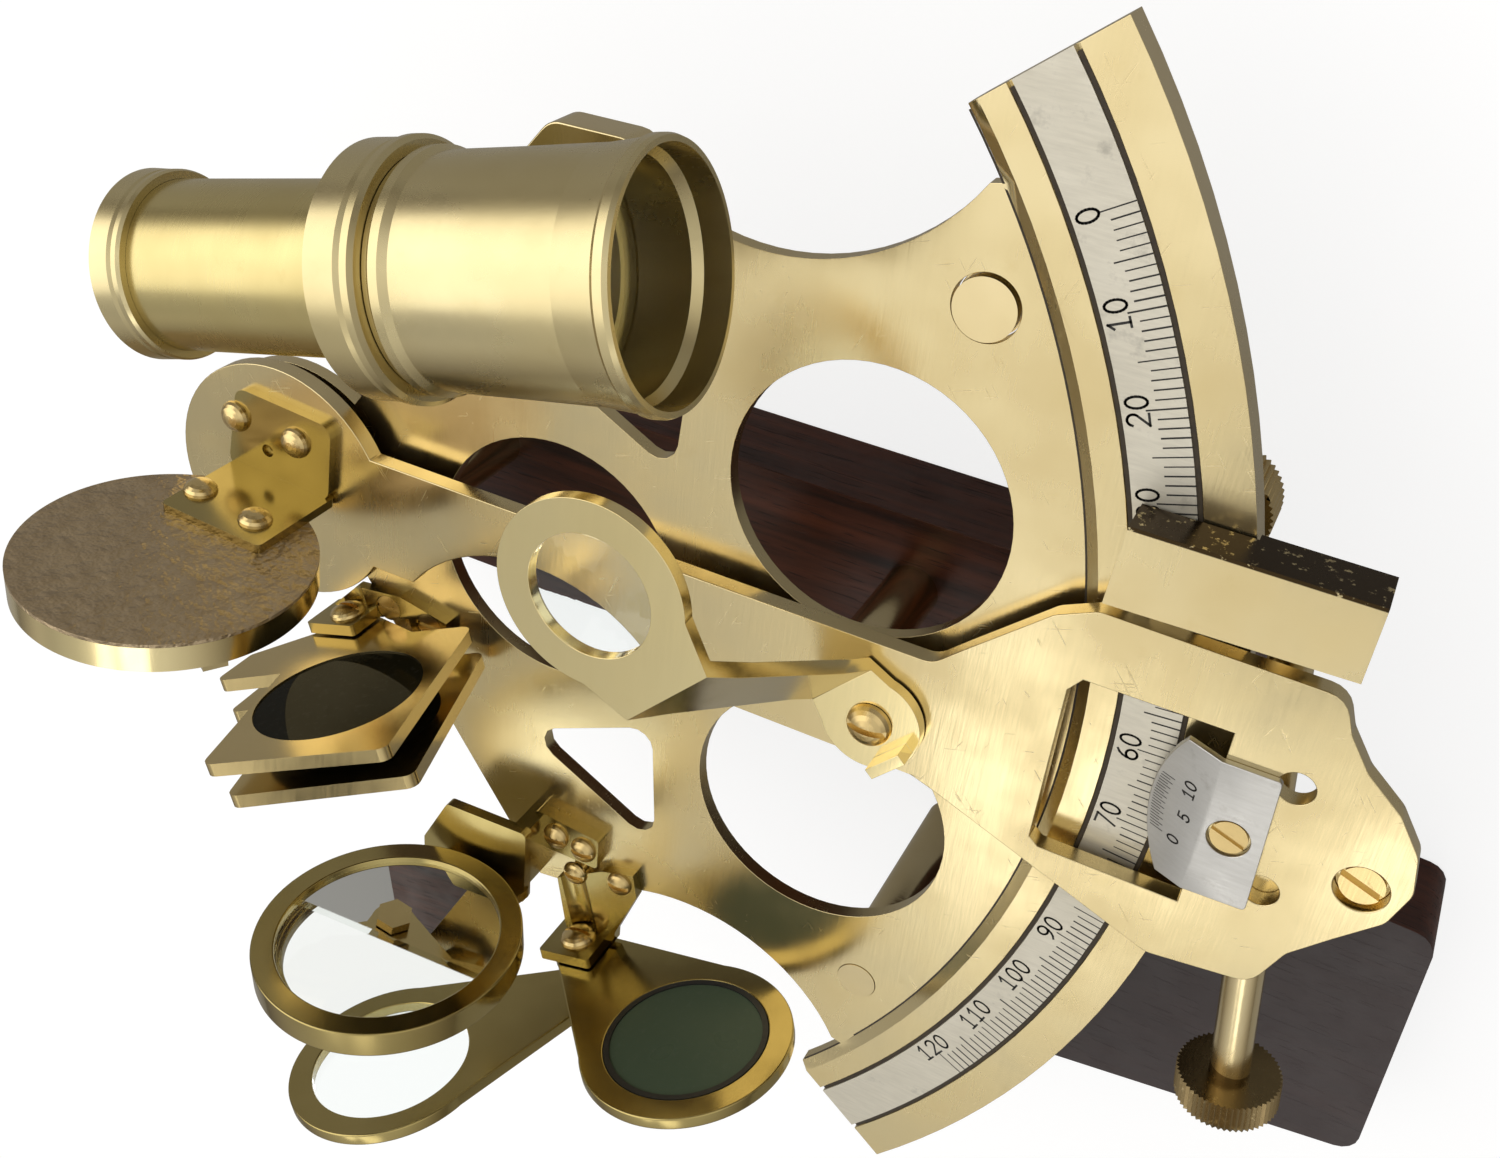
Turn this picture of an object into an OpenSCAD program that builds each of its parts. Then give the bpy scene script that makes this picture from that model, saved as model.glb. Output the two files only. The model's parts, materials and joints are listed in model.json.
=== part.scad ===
// Small brass display sextant with a silvered scale, wooden handle and swivelling telescope.
// Origin: the pivot axis of the index arm, on the plane that the sextant rests on.
// +X runs along the index arm, +Z points up from the rest plane to the scale.

/* [Limb and frame] */
// Outer radius of the limb
limb_r = 126.2; // [90:0.1:200]
// Width of the limb, measured along the radius
limb_w = 16.2; // [10:0.1:30]
// Thickness of the limb
limb_t = 4; // [2:0.1:8]
// Half of the angle that the limb spans
limb_half_angle = 39.25; // [30:0.05:60]
// Thickness of the web inside the limb
web_t = 2; // [1:0.1:5]
// Height of the limb's face above the web
web_step = 0.8; // [0.3:0.1:2]
// Radius of the frame's hub around the pivot
hub_r = 15.6; // [10:0.1:30]
// Height of the scale above the rest plane
scale_h = 38; // [25:0.5:60]
// Radius of the round holes in the frame
frame_hole_r = 17.1; // [10:0.1:25]
// Distance of the outer round holes from the pivot, along X
frame_hole_x = 80.4; // [60:0.1:100]
// Distance of the outer round holes from the middle line
frame_hole_y = 22.7; // [18:0.1:40]
// Distance of the inner round hole from the pivot
inner_hole_x = 40.2; // [30:0.1:60]

/* [Scale] */
// Outer radius of the silvered strip
scale_r = 120.4; // [80:0.1:180]
// Width of the silvered strip
scale_w = 6.6; // [4:0.1:12]
// Thickness of the silvered strip
scale_t = 0.8; // [0.4:0.1:2]
// Width of the dark groove on each side of the strip
groove_gap = 0.6; // [0.2:0.1:1]

/* [Legs and handle] */
// Radius of each leg
leg_r = 3.7; // [2:0.1:6]
// Distance of each leg from the pivot
leg_dist = 102.2; // [80:0.1:150]
// Angle of each leg from the middle line
leg_angle = 28.7; // [20:0.1:38]
// Thickness of the wooden handle
handle_t = 15; // [8:0.5:22]
// Width of the handle's bar
handle_w = 31.5; // [20:0.5:45]
// Place of the handle's edge on the telescope side
handle_edge_y = 9.5; // [0:0.5:20]
// Radius of the brass handle pillars
pillar_r = 3.7; // [2:0.1:6]

/* [Index arm] */
// Thickness of the index arm
arm_t = 2.4; // [1.5:0.1:4]
// Gap between the limb's face and the arm
arm_gap = 1.2; // [0.6:0.1:3]
// Radius of the arm's head
arm_head_r = 16.8; // [10:0.1:25]
// Half width of the arm's bar
arm_half_w = 8.2; // [4:0.1:12]
// Radius of the pivot pin
pivot_r = 3; // [1.5:0.1:6]
// Radius of the tangent screw's shaft
tangent_r = 2.4; // [1:0.1:4]
// Radius of the tangent screw's knob
tangent_knob_r = 6.3; // [4:0.1:12]
// Radius of the clamp screw's knob
clamp_knob_r = 6; // [4:0.1:10]

/* [Mirrors] */
// Height of the mirrors' centres above the scale
mirror_h = 25.2; // [20:0.1:40]
// Radius of the index mirror's cell
index_mirror_r = 18.4; // [10:0.1:25]
// Radius of the horizon mirror's ring
horizon_mirror_r = 17.9; // [10:0.1:25]
// Radius of the horizon mirror's glass
horizon_glass_r = 14.8; // [8:0.1:22]
// Depth of both mirror mounts
mirror_depth = 4; // [2:0.1:8]

/* [Shades] */
// Thickness of each shade frame
shade_t = 1.8; // [1:0.1:3]
// Radius of the glass in the square index shades
index_shade_glass_r = 11; // [6:0.1:15]
// Outer radius of each round horizon shade
horizon_shade_r = 14.6; // [8:0.1:20]
// Radius of the glass in the horizon shades
horizon_shade_glass_r = 10.4; // [6:0.1:14]
// Radius of the pins that the shades turn on
shade_pin_r = 1.5; // [0.8:0.1:3]

/* [Magnifier] */
// Outer radius of the magnifier's ring
magnifier_r = 11.1; // [6:0.1:16]
// Radius of the magnifier's lens
magnifier_lens_r = 7.2; // [4:0.1:12]
// Height of the magnifier's ring above the scale
magnifier_h = 28.6; // [15:0.1:35]

/* [Telescope] */
// Radius of the rim around the objective
objective_r = 12.9; // [8:0.1:20]
// Radius of the main tube in front of the collar
tube_r = 11.6; // [7:0.1:18]
// Length of the main tube
tube_len = 32; // [20:0.1:60]
// Radius of the draw tube
draw_r = 8.9; // [5:0.1:14]
// Distance from the objective's rim to the eyepiece's end
telescope_len = 61.7; // [40:0.1:100]
// Direction of the telescope, measured from +X
telescope_az = 13; // [-20:0.5:40]
// Droop of the objective below level
telescope_droop = 2.8; // [0:0.1:5]

/* [Output] */
// Which node to draw

/* [Hidden] */
$fn = 64;
fit = 0.05;
air = 0.3;
seat = 0.02;
limb_in = limb_r - limb_w;
web_top = -web_step;
web_bottom = -web_step - web_t;
arm_z = arm_gap;
arm_top = arm_gap + arm_t;
ground = -scale_h;
wood_top = ground + handle_t;
fan_r = limb_in - 1.4;
screw_r = 1.1;

// Places that several pieces share
ear = [[39.5, 55.2], [43.4, 54.6], [49.9, 53]];
pillar_places = [[16.5, 0], [81, -1.2]];
leg_place = [leg_dist * cos(leg_angle), leg_dist * sin(leg_angle)];
stud_r = 2.7;
zero_stud_r = 3.5;
index_mirror_az = 86.7;
horizon_mirror_at = [32, -48.6, mirror_h];
horizon_mirror_az = 93.9;
magnifier_screw_at = [87.1, -1.6];
magnifier_ring_at = [63, 20.8];
magnifier_t = 1.6;
vernier_screw_at = [128.5, 0.2];
arm_screw_at = [142.7, -0.6];
vernier_t = 0.9;
window = [[109.2, 12.9], [107.8, 11], [107.8, -10.4], [109, -11.4], [125.6, -11.4], [125.6, 12.9]];

// The tangent screw lies outside the limb, and its axis touches a circle about the pivot
tangent_dist = 130;
tangent_az = 8.8;
tangent_z = -2.2;
tangent_knob_at = 59.2;
tangent_knob_t = 3.8;
tangent_end = -6.5;
clamp_screw_at = [116, 26.6];
clamp_screw_r = 2;
clamp_y = [24.3, 33.8];
clamp_x = [109.3, 135.3];

index_shade_az = 108;
index_shade_at = [21.5, -17.15, 19.8];
index_shade_pin_at = [-12, -17];
index_shade_step = 4.6;
index_shade_n = 2;
shade_leaf_t = 1.6;
index_shade_turns = [0, -3];
horizon_shade_az = 105.4;
horizon_shade_pin_at = [49.2, -63.3, 2.7];
horizon_shade_arms = [26.6, 30];
horizon_shade_step = 6.4;
horizon_shade_angles = [25.6, 131];

telescope_at = [67.6, 54.9, mirror_h];
telescope_grip = 29;
swivel_at = telescope_at + telescope_grip * telescope_dir();
swivel_r = 2;
foot_t = 4.8;

function telescope_dir() = [
    -cos(telescope_az) * cos(telescope_droop),
    -sin(telescope_az) * cos(telescope_droop),
    sin(telescope_droop)
];

// Colours
brass = [0.78, 0.63, 0.3];
bright_brass = [0.86, 0.72, 0.4];
dark_brass = [0.42, 0.32, 0.13];
silver = [0.8, 0.8, 0.78];
wood = [0.24, 0.15, 0.13];
mirror_grey = [0.5, 0.47, 0.4];
clear = [0.85, 0.9, 0.9];
green = [0.2, 0.28, 0.2];
smoke = [0.1, 0.1, 0.07];
black = [0.06, 0.06, 0.06];

// Geometry helpers
function unit(v) = v / norm(v);

function corner_arc(a, b, c, r, n) =
    let (u = unit(a - b), v = unit(c - b))
    let (half = acos(u * v) / 2)
    let (middle = b + unit(u + v) * r / sin(half))
    let (p = b + u * r / tan(half) - middle, q = b + v * r / tan(half) - middle)
    let (from = atan2(p[1], p[0]), turn = atan2(q[1], q[0]) - from)
    let (sweep = turn > 180 ? turn - 360 : turn < -180 ? turn + 360 : turn)
    [for (i = [0:n]) middle + r * [cos(from + sweep * i / n), sin(from + sweep * i / n)]];

function rounded(points, r, n = 4) =
    let (k = len(points))
    [for (i = [0:k - 1]) each corner_arc(points[(i + k - 1) % k], points[i], points[(i + 1) % k], r, n)];

function mirrored(points) = [for (p = points) [p[0], -p[1]]];

module at_scale() {
    translate([0, 0, scale_h]) children();
}

module plate(points, bottom, top) {
    translate([0, 0, bottom]) linear_extrude(top - bottom) polygon(points);
}

module pillar(r, bottom, top) {
    translate([0, 0, bottom]) cylinder(r = r, h = top - bottom);
}

// Local X runs level along the disc, local Y up and local Z away from its front face
module upright(at, az) {
    translate(at) rotate([90, 0, az - 90]) children();
}

module tube(r_out, r_in, bottom, top) {
    difference() {
        pillar(r_out, bottom, top);
        pillar(r_in, bottom - 1, top + 1);
    }
}

module dome_head(r, h) {
    rotate_extrude() polygon(concat([[0, 0]], [for (i = [0:6]) [r * cos(15 * i), h * sin(15 * i)]]));
}

// A screw whose head starts at z = 0 and whose shank points down
module dome_screw(r, h, shank_r, shank_l, slot = 0.7) {
    difference() {
        union() {
            dome_head(r, h);
            pillar(shank_r, -shank_l, 0);
        }
        translate([-r, -slot / 2, h * 0.45]) cube([2 * r, slot, h]);
    }
}

// A rivet with its head's foot at z = 0 and its shank pointing down
module rivet(r, h, shank_r, shank_l) {
    dome_head(r, h);
    pillar(shank_r, -shank_l, 0.1);
}

// A screw with a flat slotted head
module flat_screw(r, h, shank_r, shank_l, slot = 0.6) {
    difference() {
        union() {
            pillar(r, 0, h);
            pillar(shank_r, -shank_l, 0);
        }
        translate([-r, -slot / 2, h * 0.5]) cube([2 * r, slot, h]);
    }
}

// A lens with both faces bulged, its middle plane at z = 0
module lens(r, edge, bulge) {
    steps = 6;
    rise = [for (i = [0:steps]) [r * i / steps, edge / 2 + bulge * (1 - pow(i / steps, 2))]];
    sink = [for (i = [steps:-1:0]) [rise[i][0], -rise[i][1]]];
    rotate_extrude() polygon(concat(rise, sink));
}

module knurled_knob(r, h, teeth) {
    difference() {
        cylinder(r = r, h = h);
        for (i = [0:teeth - 1]) {
            rotate(i * 360 / teeth) translate([r, 0, -1]) rotate(45) cube([0.5, 0.5, 2 * h + 2], center = true);
        }
    }
}

// Frame
function fan_side() = concat([[0, 0]], ear, [[90.6, 62.4], [130, 62.4]]);

module triangle_hole(points) {
    plate(rounded(points, 2.6), web_bottom - 1, 1);
}

module web() {
    concave_r = 27;
    concave_at = [64.5, 75.6];
    difference() {
        intersection() {
            pillar(limb_in - 0.8, web_bottom, web_top);
            plate(concat(fan_side(), [for (i = [5:-1:1]) mirrored(fan_side())[i]]), web_bottom, web_top);
        }
        for (side = [-1, 1]) {
            translate([concave_at[0], side * concave_at[1], 0]) pillar(concave_r, web_bottom - 1, 1);
        }
    }
}

module limb() {
    rotate(-limb_half_angle) rotate_extrude(angle = 2 * limb_half_angle, $fn = 180) polygon([
        [fan_r, web_bottom], [limb_in, -limb_t], [limb_r, -limb_t], [limb_r, 0],
        [scale_r + groove_gap, 0], [scale_r + groove_gap, -scale_t],
        [scale_r - scale_w - groove_gap, -scale_t], [scale_r - scale_w - groove_gap, 0],
        [limb_in, 0], [fan_r, web_top]
    ]);
}

module frame() {
    color(brass) at_scale() difference() {
        union() {
            web();
            pillar(hub_r, web_bottom, web_top);
            pillar(bush_boss_r, bush_bottom, web_bottom + 0.5);
            limb();
        }
        for (side = [-1, 1]) {
            translate([frame_hole_x, side * frame_hole_y, 0]) pillar(frame_hole_r, -20, 20);
        }
        translate([inner_hole_x, 0, 0]) pillar(frame_hole_r, -20, 20);
        triangle_hole([[36.2, -29.4], [55.9, -20.4], [57.8, -40.8]]);
        triangle_hole([[36.6, 28.2], [56, 18.2], [57.4, 38.6]]);
        pillar(bush_r + fit, -20, 20);
        translate([leg_place[0], leg_place[1], 0]) pillar(zero_stud_r + air, -20, 20);
        translate([leg_place[0], -leg_place[1], 0]) pillar(stud_r + fit, -20, 20);
        for (p = concat(pillar_places, index_shade_screw_places, horizon_mirror_screw_places,
            horizon_shade_screw_places, telescope_screw_places)) {
            translate(p) pillar(screw_r + fit, -20, 20);
        }
        translate([swivel_at[0], swivel_at[1], 0]) pillar(swivel_r + air, -20, 20);
    }
}

module scale_strip() {
    color(silver) at_scale() rotate(-limb_half_angle) rotate_extrude(angle = 2 * limb_half_angle, $fn = 180) {
        translate([scale_r - scale_w, -scale_t]) square([scale_w, scale_t]);
    }
}

// Legs, handle and its pillars
module leg(side, stud, stud_top) {
    at_scale() translate([leg_place[0], side * leg_place[1], 0]) {
        pillar(leg_r, ground, web_bottom);
        pillar(stud, web_bottom, stud_top);
    }
}

module zero_end_leg() {
    color(bright_brass) leg(1, zero_stud_r, web_top + 0.5);
}

module far_end_leg() {
    color(bright_brass) leg(-1, stud_r, web_top + 0.1);
}

module handle() {
    bar_start = -12;
    heel_start = 100;
    bar = [
        [bar_start, handle_edge_y - handle_w], [heel_start, handle_edge_y - handle_w],
        [heel_start, -73.4], [157.4, -65], [155.8, -25], [128, -23.4], [124, handle_edge_y],
        [bar_start, handle_edge_y]
    ];
    color(wood) at_scale() difference() {
        plate(rounded(bar, 3), ground, wood_top);
        for (p = pillar_places) {
            translate(p) pillar(screw_r + 0.2, ground - 1, wood_top + 1);
            translate(p) pillar(3.2, ground - 1, ground + 3);
        }
    }
}

module handle_pillars() {
    color(bright_brass) at_scale() for (p = pillar_places) {
        translate(p) {
            difference() {
                pillar(pillar_r, wood_top, web_bottom);
                pillar(screw_r + fit, wood_top - 1, wood_top + 6);
            }
            pillar(screw_r, web_bottom, web_top);
        }
    }
}

module handle_screws() {
    head_h = 1.6;
    color(dark_brass) at_scale() for (p = pillar_places) {
        translate([p[0], p[1], ground + 3]) mirror([0, 0, 1]) flat_screw(2.9, head_h, screw_r, handle_t + 2);
    }
}

// Pivot
bush_r = 5;
bush_boss_r = 9;
bush_bottom = -8;
bush_flange_r = 8;

module pivot_bush() {
    color(dark_brass) at_scale() difference() {
        union() {
            pillar(bush_r, bush_bottom, web_top);
            pillar(bush_flange_r, web_top, arm_z - air);
        }
        pillar(pivot_r + fit, -20, 20);
    }
}

module pivot_pin() {
    color(brass) at_scale() pillar(pivot_r, bush_bottom - 2.4, arm_top);
}

module pivot_nut() {
    color(brass) at_scale() difference() {
        translate([0, 0, bush_bottom - air - 1.8]) cylinder(r = 6, h = 1.8, $fn = 6);
        pillar(pivot_r + seat, -20, 0);
    }
}

// Index arm
arm_points = rounded([
    [0, arm_half_w], [92.5, arm_half_w], [96, 11.6], [104.5, 19.6], [109, 21.8], [134.8, 21.4],
    [136.4, 17.4], [139.2, 13.6], [143.6, 10], [146.6, 5.8], [147.6, 1], [146.2, -3.8],
    [142, -8.4], [138.2, -12.8], [135.8, -18.8], [124, -20.4], [96, -9.4], [92.5, -arm_half_w],
    [0, -arm_half_w]
], 3);

module index_arm() {
    relief_at = [40, -22];
    relief_r = 23.4;
    color(brass) at_scale() difference() {
        union() {
            pillar(arm_head_r, arm_z, arm_top);
            plate(arm_points, arm_z, arm_top);
        }
        translate([relief_at[0], relief_at[1], 0]) pillar(relief_r, 0, 20);
        plate(window, 0, 20);
        pillar(pivot_r + seat, 0, 20);
        translate(vernier_screw_at) pillar(screw_r + fit, 0, 20);
        translate(arm_screw_at) {
            pillar(1.5 + fit, 0, 20);
            pillar(2.9, arm_z + 0.5, 20);
        }
        for (p = [[133.2, 8.9], [133.4, -5.6]]) {
            translate(p) pillar(2, 0, 20);
        }
        translate(magnifier_screw_at) pillar(1.5 + seat, 0, 20);
        for (p = mirror_rivets_on_arm) {
            translate(p) pillar(1.2 + fit, 0, 20);
        }
    }
}

module vernier_plate() {
    curve_at = [136.3, 1];
    curve_r = 17.2;
    color(silver) at_scale() difference() {
        intersection() {
            translate([0, 12, 0]) rotate([90, 0, 0]) linear_extrude(24) polygon([
                [132.6, arm_top], [132.6, arm_top + vernier_t], [125.4, arm_top + vernier_t],
                [118.8, 1.4], [118.8, 0.5], [125.5, arm_top]
            ]);
            plate(rounded([
                [117, 9.6], [131.8, 9.6], [132.6, -8.4], [117, -8.9]
            ], 0.5), 0, 20);
            translate(curve_at) pillar(curve_r, 0, 20);
        }
        translate(vernier_screw_at) pillar(2.35, 0, 20);
    }
}

module vernier_screw() {
    color(bright_brass) at_scale() translate([vernier_screw_at[0], vernier_screw_at[1], arm_top]) {
        rotate(-20) flat_screw(2.05, 0.6, screw_r, 2.2);
    }
}

module arm_end_screw() {
    color(bright_brass) at_scale() translate([arm_screw_at[0], arm_screw_at[1], arm_z + 0.5]) {
        rotate(-20) flat_screw(2.4, 1.2, 1.5, 3, 0.8);
    }
}

// Tangent screw, its bearing and the clamp
module tangent_axis() {
    rotate(tangent_az) translate([tangent_dist, 0, tangent_z]) rotate([90, 0, 0]) children();
}

module tangent_bearing() {
    color(brass) at_scale() difference() {
        union() {
            plate([[129.4, -17.6], [136, -17.6], [138, -8], [129.4, -8]], -6, arm_z);
            plate([[129.4, -8], [138, -8], [145.6, -2], [145.6, 3.6], [138, 3.6], [129.4, -4]], -1.6, arm_z);
        }
        tangent_axis() pillar(tangent_r + fit, -60, 80);
        translate(arm_screw_at) pillar(1.5 + fit, -20, 20);
    }
}

module tangent_screw() {
    color(bright_brass) at_scale() tangent_axis() {
        difference() {
            union() {
                pillar(tangent_r, tangent_end, tangent_knob_at);
                translate([0, 0, tangent_knob_at]) knurled_knob(tangent_knob_r, tangent_knob_t, 56);
            }
            pillar(0.8, tangent_knob_at + tangent_knob_t - 0.6, tangent_knob_at + tangent_knob_t + 1);
        }
    }
}

module clamp_block() {
    jaw_top = -limb_t - 0.4;
    jaw_bottom = jaw_top - 4;
    jaw_y = 29.2;
    wall_x = limb_r + 0.6;
    color(brass) at_scale() difference() {
        union() {
            plate([
                [clamp_x[0], clamp_y[0]], [clamp_x[1], clamp_y[0] + 0.6],
                [clamp_x[1], clamp_y[1]], [clamp_x[0] + 0.6, clamp_y[1]]
            ], 0.4, 5.8);
            plate([[wall_x - 4, clamp_y[0]], [clamp_x[1], clamp_y[0] + 0.6],
                [clamp_x[1], clamp_y[1]], [wall_x - 6, clamp_y[1]]], -0.8, 0.4);
            plate([[111, clamp_y[0]], [132, clamp_y[0]], [132, jaw_y], [111, jaw_y]], jaw_bottom, jaw_top);
            plate([[wall_x - 4, clamp_y[0]], [132, clamp_y[0]], [132, jaw_y], [wall_x - 6, jaw_y]], jaw_top, -0.8);
        }
        rotate_extrude($fn = 180) translate([90, jaw_top]) square([limb_r + air - 90, -jaw_top + 0.4]);
        tangent_axis() pillar(tangent_r + air, tangent_end - 1.5, 20);
        translate(clamp_screw_at) pillar(clamp_screw_r + fit, -20, jaw_top + 0.2);
    }
}

module clamp_screw() {
    color(dark_brass) at_scale() translate(clamp_screw_at) {
        pillar(clamp_screw_r, -16, -limb_t - 0.1);
        translate([0, 0, -22.4]) knurled_knob(clamp_knob_r, 6.6, 48);
    }
}

// Index mirror on its bracket
mirror_rivets_on_arm = [[-5.9, 8.6], [3.9, 7.9]];
bracket_t = 1.3;
mirror_rivets_on_disc = [[-5.2, -11.9], [4.6, -10.9]];

module index_mirror_bracket() {
    color(bright_brass) at_scale() difference() {
        union() {
            plate(rounded([[-5.6, 13], [9.7, 11.8], [8.6, 0.4], [-8, 0.4]], 1.8), arm_top, arm_top + bracket_t);
            upright([0, 0, 0], index_mirror_az) {
                translate([0, 0, -bracket_t]) linear_extrude(bracket_t) polygon(rounded([
                    [-7, arm_top], [8.8, arm_top], [8.8, 18.6], [-7, 18.6]
                ], 0.8));
            }
        }
        for (p = mirror_rivets_on_arm) {
            translate(p) pillar(1.2 + fit, 0, 20);
        }
        translate([-1, 5]) pillar(0.9, 0, 20);
        upright([0, 0, mirror_h], index_mirror_az) for (p = mirror_rivets_on_disc) {
            translate(p) pillar(1.2 + fit, -5, 5);
        }
    }
}

module index_mirror_rivets() {
    color(bright_brass) at_scale() {
        for (p = mirror_rivets_on_arm) {
            translate([p[0], p[1], arm_top + bracket_t]) rivet(2.2, 1.5, 1.2, bracket_t + arm_t);
        }
        upright([0, 0, mirror_h], index_mirror_az) for (p = mirror_rivets_on_disc) {
            translate([p[0], p[1], -bracket_t]) mirror([0, 0, 1]) rivet(2.2, 1.5, 1.2, bracket_t + 1.6);
        }
    }
}

module index_mirror_cell() {
    color(brass) at_scale() upright([0, 0, mirror_h], index_mirror_az) difference() {
        pillar(index_mirror_r, 0.5, mirror_depth);
        pillar(index_mirror_r - 1.3, mirror_depth - 1.4, mirror_depth + 1);
        for (p = mirror_rivets_on_disc) {
            translate(p) pillar(1.2 + fit, -5, 1.8);
        }
    }
}

module index_mirror_back() {
    color(mirror_grey) at_scale() upright([0, 0, mirror_h], index_mirror_az) difference() {
        pillar(index_mirror_r, 0, 0.5 - seat);
        for (p = mirror_rivets_on_disc) {
            translate(p) pillar(1.2 + fit, -5, 5);
        }
    }
}

module index_mirror_glass() {
    color(clear) at_scale() upright([0, 0, mirror_h], index_mirror_az) {
        pillar(index_mirror_r - 1.3 - seat, mirror_depth - 1.4, mirror_depth - 0.1);
    }
}

module index_mirror_clips() {
    color(bright_brass) at_scale() upright([0, 0, mirror_h], index_mirror_az) for (a = [30, 150, 270]) {
        rotate(a) translate([index_mirror_r - 3, -1.5, mirror_depth]) cube([2.8, 3, 0.8]);
    }
}

// Magnifier
module magnifier_plan() {
    reach = norm(magnifier_screw_at - magnifier_ring_at);
    circle(r = magnifier_r);
    polygon([[7, -8.4], [16, -5.4], [25, -4.2], [reach, -6.2], [reach, 6.2], [25, 4.2], [16, 5.4], [7, 8.4]]);
    translate([reach, 0]) circle(r = 6.2);
}

module along_magnifier() {
    way = magnifier_screw_at - magnifier_ring_at;
    translate([magnifier_ring_at[0], magnifier_ring_at[1], 0]) rotate(atan2(way[1], way[0])) children();
}

module magnifier_arm() {
    foot = arm_top + air;
    ring_top = magnifier_h + magnifier_t;
    tab_x = 38.1;
    color(bright_brass) at_scale() along_magnifier() difference() {
        union() {
            intersection() {
                translate([0, 20, 0]) rotate([90, 0, 0]) linear_extrude(40) polygon([
                    [-20, magnifier_h], [12.2, magnifier_h], [26.2, foot], [50, foot],
                    [50, foot + magnifier_t], [27.2, foot + magnifier_t], [13.2, ring_top], [-20, ring_top]
                ]);
                linear_extrude(60) magnifier_plan();
            }
            translate([tab_x - 1.2, -2.6, foot]) cube([1.4, 5.2, 4.2]);
        }
        pillar(magnifier_lens_r + seat, 20, 40);
        translate([norm(magnifier_screw_at - magnifier_ring_at), 0, 0]) pillar(1.5 + fit, 0, 20);
    }
}

module magnifier_lens() {
    color(clear) at_scale() translate([magnifier_ring_at[0], magnifier_ring_at[1], magnifier_h + magnifier_t / 2]) {
        lens(magnifier_lens_r, 1.2, 0.9);
    }
}

module magnifier_screw() {
    color(bright_brass) at_scale() {
        translate([magnifier_screw_at[0], magnifier_screw_at[1], arm_top + air + magnifier_t + 0.1]) {
            dome_screw(2.8, 1.8, 1.5, magnifier_t + air + 0.1 + arm_t, 0.8);
        }
    }
}

// Square index shades
index_shade_screw_places = [[14.6, -16.6], [21.4, -17]];

module index_shade_place(i) {
    upright(index_shade_at, index_shade_az) translate([index_shade_pin_at[0], index_shade_pin_at[1], 0]) {
        translate([0, 0, i * index_shade_step]) rotate(index_shade_turns[i]) {
            translate([-index_shade_pin_at[0], -index_shade_pin_at[1], 0]) children();
        }
    }
}

// Seen from the front, a rectangle with a lug around the pin
module index_shade_body(i) {
    corners = [[7.7, -19], [16.1, 10.2], [-6.8, 18], [-15.2, -11.2]];
    finger_tab = [[-21.9, 0.2], [-11, -3.8], [-10, -12], [-15, -15], [-21.9, -7]];
    lug_r = 3.5;
    color(brass) at_scale() index_shade_place(i) difference() {
        union() {
            plate(rounded(corners, 1.4), -shade_t / 2, shade_t / 2);
            plate([[-15.4, -16.4], [-11, -20.3], [0, -16], [-4, -8], [-15, -10.6]], -shade_t / 2, shade_t / 2);
            plate(rounded(finger_tab, 1), -shade_t / 2, shade_t / 2);
            translate(index_shade_pin_at) pillar(lug_r, -shade_t / 2, shade_t / 2);
        }
        pillar(index_shade_glass_r + seat, -5, 5);
        translate(index_shade_pin_at) pillar(shade_pin_r + fit, -5, 5);
    }
}

module index_shade_glass(i) {
    color(smoke) at_scale() index_shade_place(i) {
        pillar(index_shade_glass_r, -shade_t / 2 + 0.2, shade_t / 2 - 0.2);
    }
}

module index_shade_1() {
    index_shade_body(0);
}

module index_shade_2() {
    index_shade_body(1);
}

module index_shade_glass_1() {
    index_shade_glass(0);
}

module index_shade_glass_2() {
    index_shade_glass(1);
}

module index_shade_pin_place() {
    upright(index_shade_at, index_shade_az) {
        translate([index_shade_pin_at[0], index_shade_pin_at[1], 0]) children();
    }
}

module index_shade_bracket() {
    foot_top = arm_z - 0.4;
    leaf_front = -shade_t / 2 - air - shade_leaf_t;
    color(brass) at_scale() difference() {
        union() {
            plate([[4.7, -20.2], [9.2, -15], [16.6, -13.9], [24.3, -15.4], [24.3, -19.4], [13, -19.4], [5.3, -21.8]],
                web_top, foot_top);
            index_shade_pin_place() translate([0, 0, leaf_front]) linear_extrude(shade_leaf_t) polygon(rounded([
                [-4.6, web_top - index_shade_z()], [3.6, web_top - index_shade_z()],
                [3.6, 3.6], [-4.6, 3.6]
            ], 0.5));
        }
        index_shade_pin_place() {
            pillar(shade_pin_r + fit, -20, 20);
            pillar(2.8, -20, leaf_front - seat);
        }
        index_shade_place(0) translate(index_shade_pin_at) pillar(9, -shade_t / 2 - air, 20);
        for (p = index_shade_screw_places) {
            translate(p) {
                pillar(screw_r + fit, -20, 20);
                pillar(2, foot_top - 0.8, 20);
            }
        }
    }
}

function index_shade_z() = index_shade_at[2] + index_shade_pin_at[1];

module index_shade_screws() {
    color(bright_brass) at_scale() for (p = index_shade_screw_places) {
        translate([p[0], p[1], arm_z - 1.2]) flat_screw(1.9, 0.7, screw_r, web_t + 0.4);
    }
}

module index_shade_pin() {
    head_at = -shade_t / 2 - air - shade_leaf_t;
    tail_at = (index_shade_n - 1) * index_shade_step + shade_t / 2 + air;
    color(bright_brass) at_scale() index_shade_pin_place() {
        translate([0, 0, head_at]) mirror([0, 0, 1]) dome_screw(2.5, 1.4, shade_pin_r, tail_at - head_at, 0.6);
        translate([0, 0, tail_at]) cylinder(r = 2.9, h = 1.6, $fn = 6);
    }
}

module spacer(step) {
    tube(2.6, shade_pin_r + seat, shade_t / 2 + air, step - shade_t / 2 - air);
}

module index_shade_spacer() {
    color(brass) at_scale() index_shade_pin_place() spacer(index_shade_step);
}

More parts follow.
